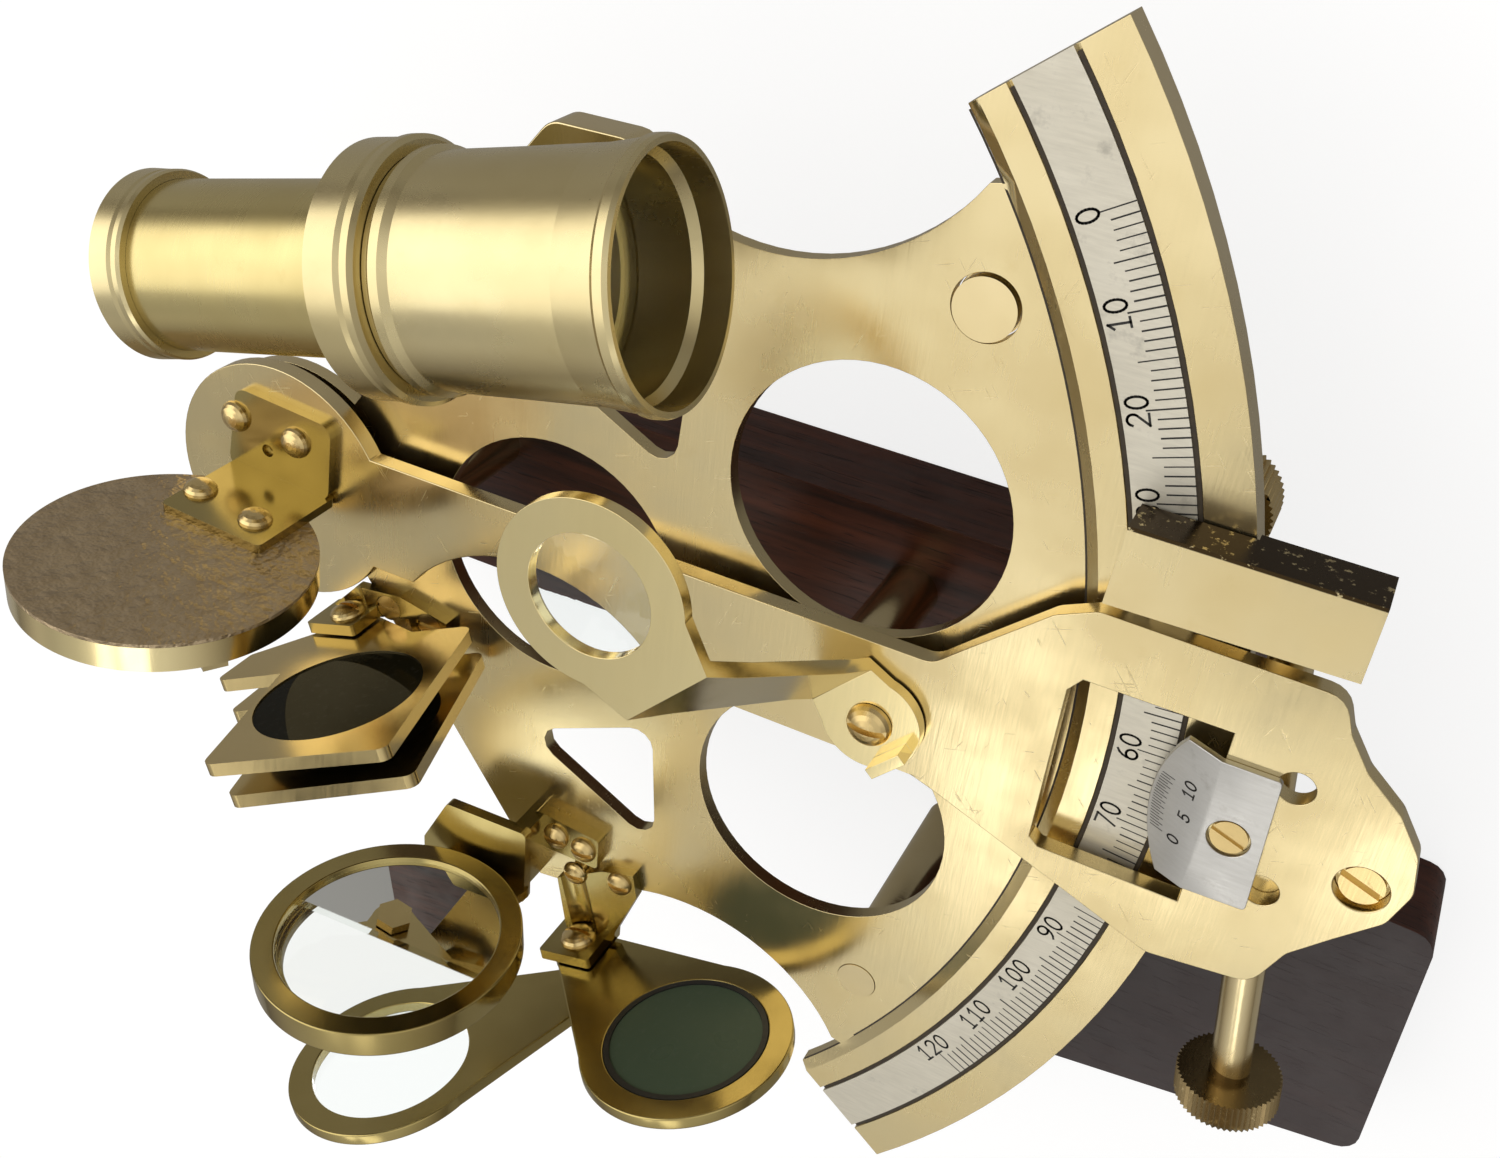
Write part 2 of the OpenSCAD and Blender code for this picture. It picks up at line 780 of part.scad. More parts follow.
// Horizon mirror
horizon_mirror_screw_places = [[43.2, -44.4], [47.7, -44.8]];

module horizon_mirror_bracket() {
    shelf = [4.6, 6.2];
    leaf_back = mirror_depth + 1.5;
    color(brass) at_scale() difference() {
        union() {
            plate(rounded([[39.6, -41.2], [50, -42.2], [50, -47.4], [39.6, -47.4]], 0.6), web_top, 1.2);
            plate([[38.4, -52.4], [40.8, -52.4], [40.8, -41.8], [38.4, -41.8]], web_top, shelf[1] - 0.2);
            plate(rounded([[24, -54.6], [24, -50], [28, -42], [41.2, -41.4], [41.2, -54.6]], 0.8), shelf[0], shelf[1]);
            upright([horizon_mirror_at[0], horizon_mirror_at[1], 0], horizon_mirror_az) {
                translate([0, 0, mirror_depth]) linear_extrude(leaf_back - mirror_depth) polygon(rounded([
                    [-6.4, shelf[0] + 0.3], [9.4, shelf[0] + 0.3], [8, 11.6], [-5, 11.6]
                ], 0.8));
            }
        }
        for (p = horizon_mirror_screw_places) {
            translate(p) pillar(screw_r + fit, -20, 20);
        }
        upright(horizon_mirror_at, horizon_mirror_az) for (p = horizon_ring_screws) {
            translate(p) pillar(screw_r + fit, 0, 10);
        }
    }
}

horizon_ring_screws = [[-2.4, -16.3], [4.8, -15.7]];

module horizon_mirror_screws() {
    color(bright_brass) at_scale() {
        for (p = horizon_mirror_screw_places) {
            translate([p[0], p[1], 1.2]) dome_screw(2, 1.3, screw_r, 1.2 - web_bottom);
        }
        upright(horizon_mirror_at, horizon_mirror_az) for (p = horizon_ring_screws) {
            translate([p[0], p[1], mirror_depth + 1.5]) dome_screw(1.4, 1, screw_r, 4);
        }
    }
}

module horizon_mirror_ring() {
    color(brass) at_scale() upright(horizon_mirror_at, horizon_mirror_az) difference() {
        pillar(horizon_mirror_r, 0, mirror_depth - 0.1);
        pillar(horizon_glass_r + seat, -1, 2.2);
        pillar(horizon_glass_r - 0.8, 0, 10);
        for (p = horizon_ring_screws) {
            translate(p) pillar(screw_r + fit, 1.4, 10);
        }
    }
}

module horizon_mirror_glass() {
    color(clear) at_scale() upright(horizon_mirror_at, horizon_mirror_az) {
        pillar(horizon_glass_r, 0.8, 2.2);
    }
}

// Round horizon shades
horizon_shade_screw_places = [[46.4, -50.2], [53.6, -48.6]];

module horizon_shade_pin_place() {
    upright(horizon_shade_pin_at, horizon_shade_az) children();
}

module horizon_shade_place(i) {
    horizon_shade_pin_place() translate([0, 0, i * horizon_shade_step]) rotate(horizon_shade_angles[i]) children();
}

// Local X runs from the pin to the middle of the glass
module horizon_shade_body(i) {
    lug_r = 3.9;
    inset = 0.15;
    reach = horizon_shade_arms[i];
    lean = asin((horizon_shade_r - lug_r) / reach);
    up = [-sin(lean), cos(lean)];
    down = [-sin(lean), -cos(lean)];
    middle = [reach, 0];
    neck = [
        (lug_r - inset) * up, middle + (horizon_shade_r - inset) * up,
        middle + (horizon_shade_r - inset) * down, (lug_r - inset) * down
    ];
    color(brass) at_scale() horizon_shade_place(i) difference() {
        union() {
            plate(neck, -shade_t / 2, shade_t / 2);
            pillar(lug_r, -shade_t / 2, shade_t / 2);
            translate([reach, 0, 0]) pillar(horizon_shade_r, -shade_t / 2, shade_t / 2);
        }
        translate([reach, 0, 0]) pillar(horizon_shade_glass_r + 0.8 + seat, -5, 5);
        pillar(shade_pin_r + fit, -5, 5);
    }
}

module horizon_shade_glass(i, tint, r) {
    color(tint) at_scale() horizon_shade_place(i) translate([horizon_shade_arms[i], 0, 0]) {
        pillar(r, -shade_t / 2 + 0.2, shade_t / 2 - 0.2);
    }
}

module horizon_shade_1() {
    horizon_shade_body(0);
}

module horizon_shade_2() {
    horizon_shade_body(1);
}

module horizon_shade_glass_1() {
    horizon_shade_glass(0, green, horizon_shade_glass_r);
}

module horizon_shade_glass_2() {
    horizon_shade_glass(1, clear, horizon_shade_glass_r + 0.8);
}

module green_shade_gasket() {
    color(black) at_scale() horizon_shade_place(0) translate([horizon_shade_arms[0], 0, 0]) {
        tube(horizon_shade_glass_r + 0.8, horizon_shade_glass_r + seat, -shade_t / 2, shade_t / 2);
    }
}

module horizon_shade_bracket() {
    leaf_front = -shade_t / 2 - air - shade_leaf_t;
    color(brass) at_scale() difference() {
        union() {
            plate([[43.4, -52.8], [50.6, -47.9], [55.6, -46.2], [56.4, -50], [53.4, -58.6], [53.4, -60.4],
                [45.6, -62.6], [45, -60.6]], web_top, web_top + 1.6);
            horizon_shade_pin_place() translate([0, 0, leaf_front]) linear_extrude(shade_leaf_t) polygon(rounded([
                [-4.4, web_top - horizon_shade_pin_at[2]], [4, web_top - horizon_shade_pin_at[2]],
                [4, 4], [-4.4, 4]
            ], 0.5));
        }
        horizon_shade_pin_place() {
            pillar(shade_pin_r + fit, -20, 20);
            pillar(2.9, -20, leaf_front - seat);
            pillar(4.6, -shade_t / 2 - air, 20);
        }
        for (p = horizon_shade_screw_places) {
            translate(p) pillar(screw_r + fit, -20, 20);
        }
    }
}

module horizon_shade_screws() {
    color(bright_brass) at_scale() for (p = horizon_shade_screw_places) {
        translate([p[0], p[1], web_top + 1.6]) dome_screw(1.9, 1.2, screw_r, web_t + 1.6);
    }
}

module horizon_shade_spacer() {
    color(brass) at_scale() horizon_shade_pin_place() spacer(horizon_shade_step);
}

module horizon_shade_pin() {
    head_at = -shade_t / 2 - air - shade_leaf_t;
    tail_at = horizon_shade_step + shade_t / 2 + air;
    color(bright_brass) at_scale() horizon_shade_pin_place() {
        translate([0, 0, head_at]) mirror([0, 0, 1]) dome_screw(2.6, 1.6, shade_pin_r, tail_at - head_at, 0.6);
        translate([0, 0, tail_at]) cylinder(r = 3, h = 1.6, $fn = 6);
    }
}

// Telescope: local Z runs from the objective's rim to the eyepiece
module along_telescope() {
    translate(telescope_at) rotate([0, 90 - telescope_droop, telescope_az + 180]) children();
}

telescope_screw_places = [[46.4, 47.6], [45.2, 52.4]];

module telescope_foot() {
    color(brass) at_scale() difference() {
        plate(rounded([[34.6, 43.6], [50.6, 43], [52.6, 58.6], [40.4, 58.4], [35.4, 52]], 3, 6),
            web_top, web_top + foot_t);
        translate([swivel_at[0], swivel_at[1], 0]) pillar(swivel_r + fit, -20, 20);
        for (p = telescope_screw_places) {
            translate(p) {
                pillar(screw_r + fit, -20, 20);
                pillar(2, web_top + foot_t - 1, 20);
            }
        }
    }
}

module telescope_foot_screws() {
    color(bright_brass) at_scale() for (p = telescope_screw_places) {
        translate([p[0], p[1], web_top + foot_t - 1]) flat_screw(1.9, 0.8, screw_r, web_t + foot_t - 1);
    }
}

module telescope_holder() {
    band = [26.4, tube_len];
    neck_bottom = web_top + foot_t + air;
    ridge_r = 13.1;
    color(bright_brass) at_scale() difference() {
        union() {
            along_telescope() rotate_extrude() polygon([
                [0, band[0]], [ridge_r - 0.5, band[0]], [ridge_r, band[0] + 0.4], [ridge_r, band[0] + 1.2],
                [ridge_r - 0.6, band[0] + 1.6], [ridge_r - 0.3, band[0] + 2.2], [ridge_r - 0.3, band[1]], [0, band[1]]
            ]);
            translate([swivel_at[0], swivel_at[1], 0]) {
                pillar(4, neck_bottom, swivel_at[2] - tube_r);
                pillar(swivel_r, web_bottom - 3.6, neck_bottom);
            }
        }
        along_telescope() {
            pillar(tube_r - 0.4 + seat, 0, 50);
            pillar(tube_r + 0.6, 0, band[0] - seat);
        }
    }
}

module telescope_nut() {
    color(brass) at_scale() translate([swivel_at[0], swivel_at[1], web_bottom - air - 2.4]) difference() {
        cylinder(r = 4.4, h = 2.4, $fn = 6);
        pillar(swivel_r + seat, -1, 4);
    }
}

module telescope_tube() {
    band_start = 26.4;
    lens_at = 9.5;
    color(bright_brass) at_scale() along_telescope() rotate_extrude() polygon([
        [objective_r - 0.8, 0], [objective_r - 0.2, 0], [objective_r, 0.5], [objective_r, 1.4],
        [objective_r - 0.3, 1.8], [objective_r - 0.8, 6], [tube_r + 0.2, 15], [tube_r, 23.4],
        [tube_r + 0.5, 24.2], [tube_r + 0.5, 25.2], [tube_r - 0.1, 25.8], [tube_r - 0.1, band_start - 0.1],
        [tube_r - 0.4, band_start - 0.1], [tube_r - 0.4, tube_len + 0.2], [draw_r + fit, tube_len + 0.2],
        [draw_r + fit, tube_len - 3], [tube_r - 1.4, tube_len - 3], [tube_r - 1.4, lens_at + 2],
        [tube_r - 0.6, lens_at + 2], [tube_r - 0.3, 4], [objective_r - 0.9, 3]
    ]);
}

module objective_lens() {
    color(clear) at_scale() along_telescope() translate([0, 0, 10.4]) lens(tube_r - 0.8, 1, 0.6);
}

module draw_tube() {
    color(bright_brass) at_scale() along_telescope() tube(draw_r, draw_r - 0.9, 20, telescope_len - 2.9);
}

module eyepiece_ring() {
    start = telescope_len - 4.2;
    color(bright_brass) at_scale() along_telescope() rotate_extrude() polygon([
        [draw_r + seat, start], [draw_r + 0.8, start], [draw_r + 1, start + 0.4], [draw_r + 1, start + 1],
        [draw_r + 0.7, start + 1.3], [draw_r + 1, start + 1.6], [draw_r + 1.1, telescope_len - 0.4],
        [draw_r + 0.7, telescope_len], [draw_r - 2.4, telescope_len], [draw_r - 2.4, telescope_len - 0.8],
        [draw_r - 1, telescope_len - 0.8], [draw_r - 1, start + 1.4], [draw_r + seat, start + 1.4]
    ]);
}

module eye_lens() {
    color(clear) at_scale() along_telescope() translate([0, 0, telescope_len - 2]) lens(draw_r - 1.05, 0.6, 0.5);
}

frame();
scale_strip();
zero_end_leg();
far_end_leg();
handle();
handle_pillars();
handle_screws();
pivot_bush();
pivot_pin();
pivot_nut();
index_arm();
vernier_plate();
vernier_screw();
arm_end_screw();
tangent_bearing();
tangent_screw();
clamp_block();
clamp_screw();
index_mirror_bracket();
index_mirror_rivets();
index_mirror_cell();
index_mirror_back();
index_mirror_glass();
index_mirror_clips();
magnifier_arm();
magnifier_lens();
magnifier_screw();
index_shade_bracket();
index_shade_screws();
index_shade_pin();
index_shade_spacer();
index_shade_1();
index_shade_2();
index_shade_glass_1();
index_shade_glass_2();
horizon_mirror_bracket();
horizon_mirror_screws();
horizon_mirror_ring();
horizon_mirror_glass();
horizon_shade_bracket();
horizon_shade_screws();
horizon_shade_pin();
horizon_shade_spacer();
horizon_shade_1();
horizon_shade_2();
horizon_shade_glass_1();
horizon_shade_glass_2();
green_shade_gasket();
telescope_foot();
telescope_foot_screws();
telescope_holder();
telescope_nut();
telescope_tube();
objective_lens();
draw_tube();
eyepiece_ring();
eye_lens();
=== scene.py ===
"""Looks of a small brass display sextant with a silvered scale and a dark wooden handle."""

import json
import logging
import math
import random
from dataclasses import dataclass, field
from enum import Enum
from typing import Any

import bmesh
import bpy
from mathutils import Euler, Matrix, Vector

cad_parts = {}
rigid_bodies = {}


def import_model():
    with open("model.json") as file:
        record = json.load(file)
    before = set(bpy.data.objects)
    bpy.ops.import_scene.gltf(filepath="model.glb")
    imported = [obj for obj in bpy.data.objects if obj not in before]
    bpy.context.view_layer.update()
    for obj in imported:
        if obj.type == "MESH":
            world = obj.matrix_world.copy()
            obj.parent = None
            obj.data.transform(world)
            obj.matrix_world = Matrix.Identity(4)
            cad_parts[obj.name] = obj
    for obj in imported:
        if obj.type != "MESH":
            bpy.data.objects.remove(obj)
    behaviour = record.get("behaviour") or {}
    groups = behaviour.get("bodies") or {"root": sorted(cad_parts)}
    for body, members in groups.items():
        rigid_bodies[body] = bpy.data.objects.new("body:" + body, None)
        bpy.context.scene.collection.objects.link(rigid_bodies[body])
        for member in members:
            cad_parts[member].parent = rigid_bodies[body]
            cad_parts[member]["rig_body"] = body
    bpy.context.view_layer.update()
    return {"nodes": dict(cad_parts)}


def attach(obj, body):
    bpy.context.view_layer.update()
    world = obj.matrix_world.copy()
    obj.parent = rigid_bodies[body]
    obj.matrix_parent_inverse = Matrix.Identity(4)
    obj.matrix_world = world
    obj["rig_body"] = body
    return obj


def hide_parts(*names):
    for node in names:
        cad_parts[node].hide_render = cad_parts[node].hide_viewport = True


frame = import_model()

log = logging.getLogger("sextant")
MM = 0.001
# Height of the scale's face above the rest plane, in millimetres
SCALE_Z = 38.0
Colour = tuple[float, float, float]
Triple = tuple[float, float, float]
Point = tuple[float, float]
Band = tuple[float, float]


def place(x: float, y: float, z: float) -> Vector:
    """Turn a place over the scale into the frame's metres.

    Args:
        x: Millimetres along the index arm at rest.
        y: Millimetres toward the zero end.
        z: Millimetres above the scale.

    Returns:
        The place in metres, measured from the rest plane.
    """
    return Vector((x, y, z + SCALE_Z)) * MM


class Axis(Enum):
    """Parts of a vector, numbered as the shader node's outputs are."""

    X = 0
    Y = 1
    Z = 2


@dataclass(frozen=True)
class Grain:
    """A noise over a piece.

    The scale is per metre, fine is the weight of the finer octaves and turn is in degrees about Z.
    """

    scale: float
    octaves: float = 2.0
    fine: float = 0.5
    stretch: Triple = (1.0, 1.0, 1.0)
    turn: float = 0.0


@dataclass(frozen=True)
class Mark:
    """A mark that fades in over a band of a grain, up to its share."""

    grain: Grain
    band: Band
    share: float = 1.0


class Wire:
    """A shader value; its operators add Math nodes."""

    def __init__(self, bench: "Bench", socket: bpy.types.NodeSocket) -> None:
        """Keep the socket and the bench that it belongs to."""
        self.bench = bench
        self.socket = socket

    def _math(self, operation: str, other: Any, swapped: bool = False) -> "Wire":
        """Add one Math node.

        Args:
            operation: Name of the node's operation.
            other: A number or another wire.
            swapped: Whether the other value comes first.

        Returns:
            The node's result.
        """
        pair = (other, self) if swapped else (self, other)
        return self.bench.node("ShaderNodeMath", {"operation": operation}, {0: pair[0], 1: pair[1]})

    def __add__(self, other: Any) -> "Wire":
        """Add."""
        return self._math("ADD", other)

    __radd__ = __add__

    def __sub__(self, other: Any) -> "Wire":
        """Subtract."""
        return self._math("SUBTRACT", other)

    def __rsub__(self, other: Any) -> "Wire":
        """Subtract this value from a number."""
        return self._math("SUBTRACT", other, True)

    def __mul__(self, other: Any) -> "Wire":
        """Multiply."""
        return self._math("MULTIPLY", other)

    __rmul__ = __mul__

    def at_most(self, other: Any) -> "Wire":
        """Limit from above."""
        return self._math("MINIMUM", other)

    def at_least(self, other: Any) -> "Wire":
        """Limit from below."""
        return self._math("MAXIMUM", other)


class Bench:
    """Builds the nodes of one material or of the world."""

    def __init__(self, owner: bpy.types.Material | bpy.types.World) -> None:
        """Start with no nodes.

        Args:
            owner: The material or world that gets the nodes.
        """
        self.owner = owner
        owner.use_nodes = True
        self.tree = owner.node_tree
        self.tree.nodes.clear()

    def node(self, kind: str, settings: dict[str, Any], sockets: dict[Any, Any], output: Any = 0) -> Wire:
        """Add a node.

        Args:
            kind: The node's type.
            settings: Properties that are set first, such as an operation.
            sockets: Values or wires by socket name or number.
            output: Name or number of the socket to return.

        Returns:
            The chosen output.
        """
        made = self.tree.nodes.new(kind)
        for name, value in settings.items():
            setattr(made, name, value)
        for key, value in sockets.items():
            if isinstance(value, Wire):
                self.tree.links.new(value.socket, made.inputs[key])
            else:
                made.inputs[key].default_value = value
        return Wire(self, made.outputs[output])

    def coordinates(self, stretch: Triple = (1.0, 1.0, 1.0), turn: float = 0.0) -> Wire:
        """Give the piece's own coordinates in metres, turned about Z and stretched.

        Args:
            stretch: Factors along X, Y and Z.
            turn: Turn about Z in degrees.

        Returns:
            The coordinates.
        """
        raw = self.node("ShaderNodeTexCoord", {}, {}, "Object")
        rotation = (0.0, 0.0, math.radians(turn))
        spun = self.node("ShaderNodeMapping", {}, {"Vector": raw, "Rotation": rotation})
        return self.node("ShaderNodeMapping", {}, {"Vector": spun, "Scale": stretch})

    def noise(self, grain: Grain) -> Wire:
        """Give a grain as a noise between 0 and 1.

        Args:
            grain: The noise's settings.

        Returns:
            The noise.
        """
        return self.node("ShaderNodeTexNoise", {}, {
            "Vector": self.coordinates(grain.stretch, grain.turn),
            "Scale": grain.scale,
            "Detail": grain.octaves,
            "Roughness": grain.fine,
        })

    def mark(self, mark: Mark) -> Wire:
        """Give a mark's strength, from 0 to its share."""
        return self.span(self.noise(mark.grain), mark.band) * mark.share

    def span(self, value: Wire, band: Band, to: Band = (0.0, 1.0), smooth: bool = False) -> Wire:
        """Map a range of values onto another with limits.

        Args:
            value: What to map.
            band: Values that become the two results.
            to: Results at the band's two ends.
            smooth: Whether the change starts and ends softly.

        Returns:
            The mapped value.
        """
        settings = {"interpolation_type": "SMOOTHSTEP" if smooth else "LINEAR"}
        ends = {"From Min": band[0], "From Max": band[1], "To Min": to[0], "To Max": to[1]}
        return self.node("ShaderNodeMapRange", settings, {"Value": value, **ends})

    def part(self, vector: Wire, axis: Axis) -> Wire:
        """Give one part of a vector."""
        return self.node("ShaderNodeSeparateXYZ", {}, {0: vector}, axis.value)

    def facing(self, axis: Axis) -> Wire:
        """Give how far the surface faces along an axis, from -1 to 1."""
        return self.part(self.node("ShaderNodeNewGeometry", {}, {}, "Normal"), axis)

    def ray(self, kind: str) -> Wire:
        """Give 1 for rays of a kind and 0 for all others."""
        return self.node("ShaderNodeLightPath", {}, {}, kind)

    def direct_ray(self) -> Wire:
        """Give 1 for what is seen straight or through glass, and 0 for the rest."""
        return (self.ray("Is Camera Ray") + self.ray("Is Transmission Ray")).at_most(1.0)

    def mix(self, amount: Any, first: Any, second: Any) -> Wire:
        """Mix two colours.

        Args:
            amount: Share of the second colour.
            first: Colour or wire.
            second: Colour or wire.

        Returns:
            The mixed colour.
        """
        solid = [(*c, 1.0) if isinstance(c, tuple) else c for c in (first, second)]
        return self.node("ShaderNodeMix", {"data_type": "RGBA"}, {0: amount, 6: solid[0], 7: solid[1]}, 2)

    def bump(self, height: Wire, share: float, relief: float) -> Wire:
        """Turn a height into a normal.

        Args:
            height: Height between 0 and 1.
            share: Share of the effect.
            relief: Height in metres that 1 stands for.

        Returns:
            The normal.
        """
        return self.node("ShaderNodeBump", {}, {"Height": height, "Strength": share, "Distance": relief})

    def surface(self, sockets: dict[str, Any]) -> bpy.types.Material:
        """Close the material with a Principled shader.

        Args:
            sockets: Values or wires by socket name.

        Returns:
            The finished material.
        """
        solid = {key: (*v, 1.0) if isinstance(v, tuple) and len(v) == 3 else v for key, v in sockets.items()}
        self.close(self.node("ShaderNodeBsdfPrincipled", {}, solid))
        return self.owner

    def close(self, shader: Wire, kind: str = "ShaderNodeOutputMaterial") -> None:
        """Link a shader to the output.

        Args:
            shader: The finished shader.
            kind: Type of the output node.
        """
        end = self.tree.nodes.new(kind)
        self.tree.links.new(shader.socket, end.inputs["Surface"])


# Clouds in the polish and duller patches, shared by every polished metal
CLOUD = Grain(55.0, 3.0, 0.55)
PATCH = Grain(260.0, 4.0, 0.6)
# Fine hair scratches in one direction
HAIR: Triple = (3600.0, 110.0, 1800.0)


@dataclass(frozen=True)
class PolishedFinish:
    """Polished metal with cloudy polish, fine scratches, dull marks and a darker zone, which is tarnish on
    the knob and painted shade on the clamp.

    The zone is a range of Y in metres, relief is in metres and the other sizes are shares.
    """

    name: str
    tint: Colour = (0.75, 0.63, 0.36)
    deep: Colour = (0.60, 0.46, 0.20)
    rough: float = 0.13
    haze: float = 0.12
    brush: Triple = (2600.0, 160.0, 900.0)
    scratches: float = 0.5
    grain: float = 0.8
    waves: float = 2.0
    # Darker zone of Y: tarnish on the knob, painted shade on the clamp's +Y end
    dark_zone: Band | None = None
    dark: Colour = (0.05, 0.032, 0.014)
    flecks: float = 0.8
    zone_edge: float = 0.0001
    brush_rough: float = 0.07
    scratch_rough: float = 0.2
    relief: float = 0.00006
    relief_share: float = 0.16
    hazy: Mark = Mark(CLOUD, (0.38, 0.62))
    clouded: Mark = Mark(CLOUD, (0.35, 0.7), 0.45)
    stained: Mark = Mark(PATCH, (0.62, 0.8), 0.25)
    worn: Mark = Mark(PATCH, (0.52, 0.66))
    flecked: Mark = Mark(Grain(900.0, 4.0, 0.65), (0.6, 0.66))
    hairs: tuple[Mark, ...] = tuple(
        Mark(Grain(1.0, 1.0, stretch=HAIR, turn=turn), (0.69, 0.73)) for turn in (24.0, -38.0, 71.0)
    )

    def scratch(self, bench: Bench) -> Wire:
        """Scratch the worn places in three directions."""
        hairs = [bench.mark(hair) for hair in self.hairs]
        return sum(hairs[1:], hairs[0]).at_most(1.0) * bench.mark(self.worn) * self.scratches

    def tarnish(self, bench: Bench, colour: Wire, zone: Band) -> Wire:
        """Darken a zone, with flecks of clean metal left in it: tarnish on the knob, painted shade on the
        clamp's +Y end.

        Args:
            bench: The material's bench.
            colour: The clean colour.
            zone: Range of Y in metres.

        Returns:
            The colour with the zone.
        """
        y = bench.part(bench.coordinates(), Axis.Y)
        inside = bench.span(y, (zone[0] - self.zone_edge, zone[0]))
        inside = inside * bench.span(y, (zone[1] + self.zone_edge, zone[1]))
        return bench.mix(inside * (1 - self.flecks * bench.mark(self.flecked)), colour, self.dark)

    def build(self) -> bpy.types.Material:
        """Make the material.

        Returns:
            The material.
        """
        bench = Bench(bpy.data.materials.new(self.name))
        brushed = bench.noise(Grain(1.0, 2.0, 0.6, self.brush))
        scratch = self.scratch(bench)
        colour = bench.mix(bench.mark(self.clouded), self.tint, self.deep)
        colour = bench.mix(bench.mark(self.stained), colour, self.deep)
        if self.dark_zone is not None:
            colour = self.tarnish(bench, colour, self.dark_zone)
        rough = self.rough + self.haze * bench.mark(self.hazy)
        rough = rough + self.brush_rough * brushed + self.scratch_rough * scratch
        height = brushed * self.grain - scratch + bench.noise(CLOUD) * self.waves
        return bench.surface({
            "Base Color": colour,
            "Metallic": 1.0,
            "Roughness": rough,
            "Normal": bench.bump(height, self.relief_share, self.relief),
        })


# Stains on silvered faces
SMUDGE = Grain(210.0, 5.0, 0.68)


@dataclass(frozen=True)
class SilverFinish:
    """Satin silvered metal with fine brushing, stains and a dull bloom."""

    name: str
    tint: Colour = (0.71, 0.67, 0.56)
    stain: Colour = (0.30, 0.28, 0.24)
    rough: float = 0.36
    metal: float = 0.75
    brush: Grain = Grain(1.0, 3.0, 0.65, (300.0, 2600.0, 900.0))
    brush_rough: float = 0.16
    brush_dark: Mark = Mark(brush, (0.35, 0.75), 0.16)
    smudged: Mark = Mark(SMUDGE, (0.58, 0.74), 0.55)
    rubbed: Mark = Mark(SMUDGE, (0.5, 0.8), 0.1)
    bloom: Mark = Mark(Grain(60.0), (0.4, 0.62), 0.14)
    relief: float = 0.00005
    relief_share: float = 0.18

    def build(self) -> bpy.types.Material:
        """Make the material.

        Returns:
            The material.
        """
        bench = Bench(bpy.data.materials.new(self.name))
        brushed = bench.noise(self.brush)
        colour = bench.mix(bench.mark(self.smudged), self.tint, self.stain)
        colour = bench.mix(bench.mark(self.brush_dark), colour, self.stain)
        rough = self.rough + self.brush_rough * brushed + bench.mark(self.bloom) - bench.mark(self.rubbed)
        return bench.surface({
            "Base Color": colour,
            "Metallic": self.metal,
            "Roughness": rough,
            "Normal": bench.bump(brushed, self.relief_share, self.relief),
        })


@dataclass(frozen=True)
class WoodFinish:
    """Dark waxed hardwood with long grain, pores and a duller bloom, and a painted grey sheen on the top face
    of its heel.

    The heel starts at an X in metres, relief is in metres and the other sizes are shares.
    """

    name: str
    dark: Colour = (0.016, 0.005, 0.003)
    red: Colour = (0.105, 0.028, 0.012)
    # Grey painted on the heel's top face as the sheen of its wax
    slate: Colour = (0.046, 0.036, 0.036)
    heel_from: float = 0.092
    heel_fade: float = 0.006
    heel_faces_up: Band = (0.7, 0.9)
    heel_even: float = 0.85
    heel_figure: float = 0.15
    grain: Grain = Grain(1.0, 4.0, 0.6, (24.0, 420.0, 420.0))
    grain_band: Band = (0.3, 0.72)
    grain_height: float = 0.5
    figure: Grain = Grain(1.0, 2.0, 0.5, (9.0, 120.0, 120.0))
    pores: Mark = Mark(Grain(1.0, 1.0, 0.5, (160.0, 2600.0, 2600.0)), (0.62, 0.7))
    pore_dark: float = 0.7
    pore_rough: float = 0.15
    pore_depth: float = 0.5
    bloom: Mark = Mark(Grain(150.0, 4.0, 0.65), (0.35, 0.7), 0.2)
    rough: float = 0.34
    shine: float = 0.3
    wax: float = 0.1
    wax_rough: float = 0.25
    relief: float = 0.00015
    relief_share: float = 0.3

    def build(self) -> bpy.types.Material:
        """Make the material.

        Returns:
            The material.
        """
        bench = Bench(bpy.data.materials.new(self.name))
        grain = bench.noise(self.grain)
        pores = bench.mark(self.pores)
        colour = bench.mix(bench.span(grain, self.grain_band), self.dark, self.red)
        colour = bench.mix(pores * self.pore_dark, colour, self.dark)
        x = bench.part(bench.coordinates(), Axis.X)
        # Painted sheen: the heel's upward faces are mixed toward grey, with faint streaks
        heel = bench.span(x, (self.heel_from, self.heel_from + self.heel_fade))
        heel = heel * bench.span(bench.facing(Axis.Z), self.heel_faces_up)
        streaks = self.heel_even + self.heel_figure * bench.noise(self.figure)
        colour = bench.mix(heel * streaks, colour, self.slate)
        height = grain * self.grain_height - pores * self.pore_depth
        return bench.surface({
            "Base Color": colour,
            "Roughness": self.rough + bench.mark(self.bloom) + self.pore_rough * pores,
            "Specular IOR Level": self.shine,
            "Coat Weight": self.wax,
            "Coat Roughness": self.wax_rough,
            "Normal": bench.bump(height, self.relief_share, self.relief),
        })


